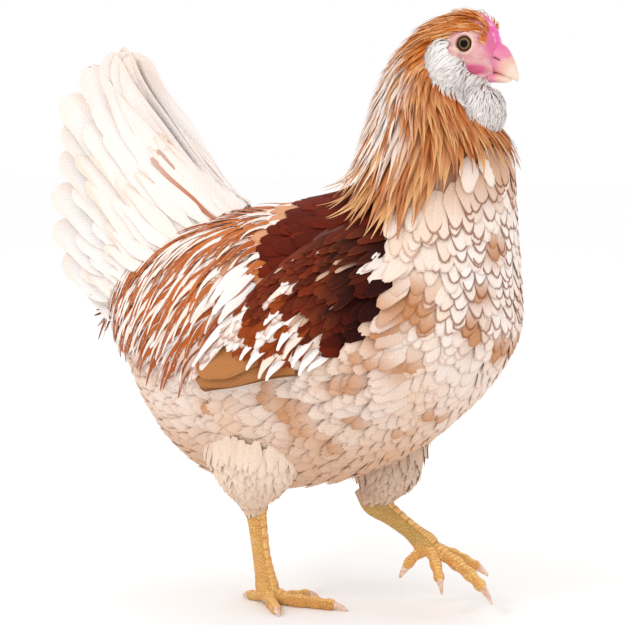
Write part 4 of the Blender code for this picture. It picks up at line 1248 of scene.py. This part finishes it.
def plates(rows_of):
    """Domed quads of 6 by 6 points laid on tubes: each spans its share along and round, and bulges by its rise."""
    all_points, all_faces = [], []
    a, b = np.meshgrid(np.linspace(0, 1, 6), np.linspace(0, 1, 6), indexing="ij")
    dome = (1 - (2 * a - 1) ** 4) * (1 - (2 * b - 1) ** 4)
    k = np.arange(36).reshape(6, 6)
    quads = np.stack([k[:-1, :-1], k[:-1, 1:], k[1:, 1:], k[1:, :-1]], -1).reshape(-1, 4)
    rim = np.concatenate([k[0, :], k[1:, -1], k[-1, -2::-1], k[-2:0:-1, 0]])
    nxt = np.roll(rim, -1)
    shell = np.concatenate([quads, quads[:, ::-1] + 36, np.stack([nxt, rim, rim + 36, nxt + 36], -1)])
    for at, u0, u1, v0, v1, rise in rows_of:
        point, normal, _, _ = at.read(u0 + (u1 - u0) * a, v0 + (v1 - v0) * b)
        top = point + normal * (dome * rise - 0.12)[..., None]
        grid = np.concatenate([top.reshape(-1, 3), (point - normal * 0.9).reshape(-1, 3)])
        first = grid[quads[12]]
        facing = np.cross(first[1] - first[0], first[2] - first[0]) @ (first.mean(0) - grid.mean(0))
        all_faces.append((shell if facing > 0 else shell[:, ::-1]) + 72 * len(all_points))
        all_points.append(grid)
    return np.concatenate(all_points), np.concatenate(all_faces).tolist()


def facing_v(form, u, way):
    """The v at which the tube's normal looks most along the way."""
    return AROUND[int(np.argmax(form.read(np.full(len(AROUND), u), AROUND)[1] @ way))]


board = Board("horn_scute")
shade = board.noise(420.0, 3.0)
board.bump(shade, 0.25, 0.0003)
colour = board.mix(shade.step(0.35, 0.7), tint(244, 194, 118), tint(230, 168, 90))
colour = board.scaled(colour, 0.92 + board.noise(60.0) * 0.16)
glow = {"Subsurface_Weight": 0.08, "Subsurface_Scale": 0.003}
scute = board.surface(colour, 0.42, Coat_Weight=0.15, Coat_Roughness=0.4, **glow)
laid = []
# First and last place down the shank, and how many pairs lie between.
for sign, start, end, count in ((-1, 0.9, 6.2, 15), (1, 2.0, 7.2, 13)):
    form = Form(limb(LEGS[sign]), (2.0, 0.0), LEGS[sign][2][:3])
    v_front = facing_v(form, 3.0, unit(np.array((1.0, 0, 0.25))))
    edges = np.linspace(start, end, count + 1)
    for k in range(count):
        for half in (-1, 1):
            shift = 0.35 * (edges[1] - edges[0]) * (half > 0)
            lo, hi = sorted((v_front + half * 0.03, v_front + half * 0.78))
            laid.append((form, edges[k] + shift + 0.01, edges[k + 1] + shift - 0.015, lo, hi, 0.48))
    for name in TOES:
        rows = toe_rows(name, sign)
        form = Form(limb(rows, UPRIGHT), (4.0, 0.0), rows[4][:3])
        v_top = facing_v(form, len(rows) / 2, np.array(UPRIGHT))
        count = int((len(rows) - 3) / 1.75)
        edges = np.linspace(1.5, len(rows) - 1.6, count + 1)
        gap = (edges[1] - edges[0]) * 0.06
        laid += [(form, edges[k] + gap, edges[k + 1] - gap, v_top - 0.85, v_top + 0.85, 0.45) for k in range(count)]
piece = add_piece("leg_scutes", *plates(laid), scute)
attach(piece, "root")


# ------------------------------------------------------------------ claws
# Ivory-pink claws of horn curve down from the toe ends. Those of the standing foot rest on the floor.

CLAWS = {"hallux": 6.5, "inner": 7.5, "middle": 9.5, "outer": 7.5}
board = Board("horn_claw")
grain = board.noise(300.0, 3.0)
board.bump(grain, 0.2, 0.0002)
colour = board.mix(grain.step(0.3, 0.75), tint(236, 206, 184), tint(206, 160, 134))
claw = board.surface(colour, 0.32, Coat_Weight=0.3, Coat_Roughness=0.25, Subsurface_Weight=0.1, Subsurface_Scale=0.002)
run = np.linspace(0, 1, 15)
radius = 2.4 * (1 - run) ** 0.55 + 0.32
for sign, label in ((-1, "right"), (1, "left")):
    for name, length in CLAWS.items():
        line = toe_line(name, sign)
        way = unit(line[-1] - line[-2])
        path = line[-1] - way * 1.4 + run[:, None] * length * way - (run**2)[:, None] * length * 0.3 * np.array(UPRIGHT)
        path[:, 2] = np.maximum(path[:, 2], 0.55 + 1.6 * (1 - run) ** 0.6) if sign < 0 else path[:, 2]
        rows = np.column_stack([path, radius * 0.8, radius])
        shape = closed(rings(limb(rows, UPRIGHT), np.arange(15.0), 18))
        piece = add_piece("claw_" + name + "_" + label + "_horn", *shape, claw)
        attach(piece, "root")
        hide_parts("claw_" + name + "_" + label)


# ------------------------------------------------------------------ bill
# A stout ivory bill of horn: the hooked upper half overlaps the lower one, and its nostril is a slit under a
# swollen flap of skin.

# As the body's rows: ridge x and z, cutting edge x and z, half width, and the height of the widest place.
UPPER = (
    (149, 367, 148, 347.2, 8.6, 0), (155.6, 363, 152.6, 345.9, 7.4, 0), (159.6, 357, 157, 343.9, 5.2, 0),
    (162.4, 350.6, 160.4, 342.7, 3.2, 0), (163.7, 345.6, 162.6, 341.7, 1.5, 0), (163.8, 342.6, 163.3, 341.3, 0.6, 0),
)
LOWER = (
    (146, 348.0, 145.5, 341.0, 6.9, 0), (151.8, 346.6, 151.2, 340.8, 5.9, 0),
    (156.0, 345.2, 155.4, 340.8, 4.2, 0), (159.0, 343.6, 158.6, 341.6, 1.6, 0),
)
board = Board("horn_bill")
grain = board.noise(220.0, 3.0)
board.bump(grain, 0.2, 0.0003)
colour = board.scaled(board.colours("Ground"), 0.95 + grain * 0.1)
horn = board.surface(colour, 0.36, Coat_Weight=0.2, Coat_Roughness=0.3, Subsurface_Weight=0.15, Subsurface_Scale=0.003)
for name, rows, node in (("bill_upper", UPPER, "beak_upper"), ("bill_lower", LOWER, "beak_lower")):
    shape = rings(hull(rows), np.linspace(0, len(rows) - 1, 64), 88)
    if name == "bill_upper":
        flap = near(shape * (1, 0, 1), (151.5, 0, 358.0), (5.5, 1, 3.4))
        slit = np.abs(shape[..., 2] - (356.2 - 0.5 * (shape[..., 0] - 151.0)))
        cut = bell(slit, 0.6) * (1 - step(2.2, 3.6, np.abs(shape[..., 0] - 151.2)))
        shape[..., 1] += np.sign(shape[..., 1]) * step(2.0, 4.0, np.abs(shape[..., 1])) * (flap - 1.5 * cut)
    points, faces = closed(shape)
    piece = add_piece(name, points, [face[::-1] for face in faces], horn)
    x, z = points[:, 0], points[:, 2]
    from_tip = np.linalg.norm((points - (163.5, 0, 343.0)) * (1, 0.5, 1), axis=1)
    from_tip = from_tip + 3.0 * (hash_noise(points, 4.0, 41) - 0.5)
    away = np.hypot((x - 151.2) / 3.2, (z - (356.2 - 0.5 * (x - 151.0))) / 0.75)
    colour = blend(
        tint(240, 214, 194),
        (tint(232, 178, 166), step(6, 13, from_tip)),
        (tint(226, 132, 164), step(12.5, 17, from_tip)),
        (tint(222, 92, 150), step(358, 366, z)),
        # Painted shade: the nostril slit is coloured dark, as the opening under the flap lies in shade.
        (tint(110, 50, 60), (1 - step(0.5, 1.2, away)) * (np.abs(points[:, 1]) > 2.5) * (name == "bill_upper")),
    )
    paint(piece.data, "Ground", colour)
    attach(piece, "root")
    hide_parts(node)


# ------------------------------------------------------------------ eyes
# An olive-amber iris round a large black pupil, wet and clear. The ball is flattened outwards and sits in the
# hollow of the lids.

# Radius and flattening of the ball, and where pupil and iris end, in millimetres.
BALL, FLATTER, PUPIL, IRIS = 5.7, 0.72, (2.45, 2.75), (3.9, 4.5)
board = Board("eye_wet")
apart = board.node("ShaderNodeSeparateXYZ", {}, {0: board.place()})
across = apart - float((EYE[0] + PLACE[0]) * 0.001)
upward = apart.output(2) - float(EYE[2] * 0.001)
radius = (across * across + upward * upward).made("SQRT") * 1000.0
iris = board.mix((radius + board.noise(1400.0) * 1.2).step(3.0, 4.6), tint(150, 118, 76), tint(88, 60, 34))
iris = board.mix(radius.step(*PUPIL), (0.001, 0.001, 0.001), iris)
iris = board.mix(radius.step(*IRIS), iris, tint(26, 16, 12))
eye = board.surface(iris, 0.25, Coat_Weight=0.14, Coat_Roughness=0.02, Specular_IOR_Level=0.05)
for sign, label in ((-1, "right"), (1, "left")):

    def ball(u, v):
        """A sphere with its pole sideways, flattened along it."""
        return np.stack([np.sin(u) * np.cos(v), sign * np.cos(u) * FLATTER, np.sin(u) * np.sin(v)], -1) * BALL

    shape = rings(ball, np.linspace(0.02, np.pi - 0.02, 28), 40)
    points, faces = closed(shape + EYE * (1, sign, 1) + (0, -sign * 0.2, 0))
    piece = add_piece("eyeball_" + label, points, faces if sign < 0 else [face[::-1] for face in faces], eye)
    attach(piece, "root")
    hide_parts("eye_" + label)


# ------------------------------------------------------------------ floor and light
# A near-white studio floor and a wide white surround, with a soft key lamp in front to the left, a fill to the
# right, one overhead, and a small one for the glint in the eye.

FLOOR = 6
floor = bpy.data.meshes.new("floor")
floor.from_pydata([(-FLOOR, -FLOOR, 0), (FLOOR, -FLOOR, 0), (FLOOR, FLOOR, 0), (-FLOOR, FLOOR, 0)], [], [(0, 1, 2, 3)])
floor.materials.append(Board("studio_floor").surface((0.99, 0.99, 0.99, 1.0), 0.9))
floor = bpy.data.objects.new("floor", floor)
bpy.context.collection.objects.link(floor)
floor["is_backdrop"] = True

world = bpy.data.worlds.new("surround")
world.use_nodes = True
world.node_tree.nodes["Background"].inputs["Color"].default_value = (1.0, 1.0, 1.0, 1.0)
world.node_tree.nodes["Background"].inputs["Strength"].default_value = 1.0
bpy.context.scene.world = world
LIT = mathutils.Vector((0, 0, 0.2))
for name, place, size, power in (
    ("key", (-0.5, -1.4, 1.4), 0.5, 5.0),
    ("fill", (1.6, -1.2, 0.9), 0.8, 1.5),
    ("top", (0.0, 0.2, 1.7), 1.0, 2.0),
    ("catch", (-0.53, -1.15, 1.21), 0.12, 1.0),
):
    lamp = bpy.data.objects.new(name, bpy.data.lights.new(name, "AREA"))
    lamp.data.shape, lamp.data.size, lamp.data.energy = "DISK", size, power
    lamp.location = place
    lamp.rotation_euler = (LIT - mathutils.Vector(place)).to_track_quat("-Z", "Y").to_euler()
    bpy.context.collection.objects.link(lamp)
bpy.context.scene.view_settings.view_transform = "Standard"
bpy.context.scene.view_settings.look = "None"


# ------------------------------------------------------------------ finish
# The corners of the imported solids and of the finished hen are worked out as a list that is not kept, and the frame
# takes every piece over.

[[float(c) for c in corner] for corner in (*solid_box, *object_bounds())]
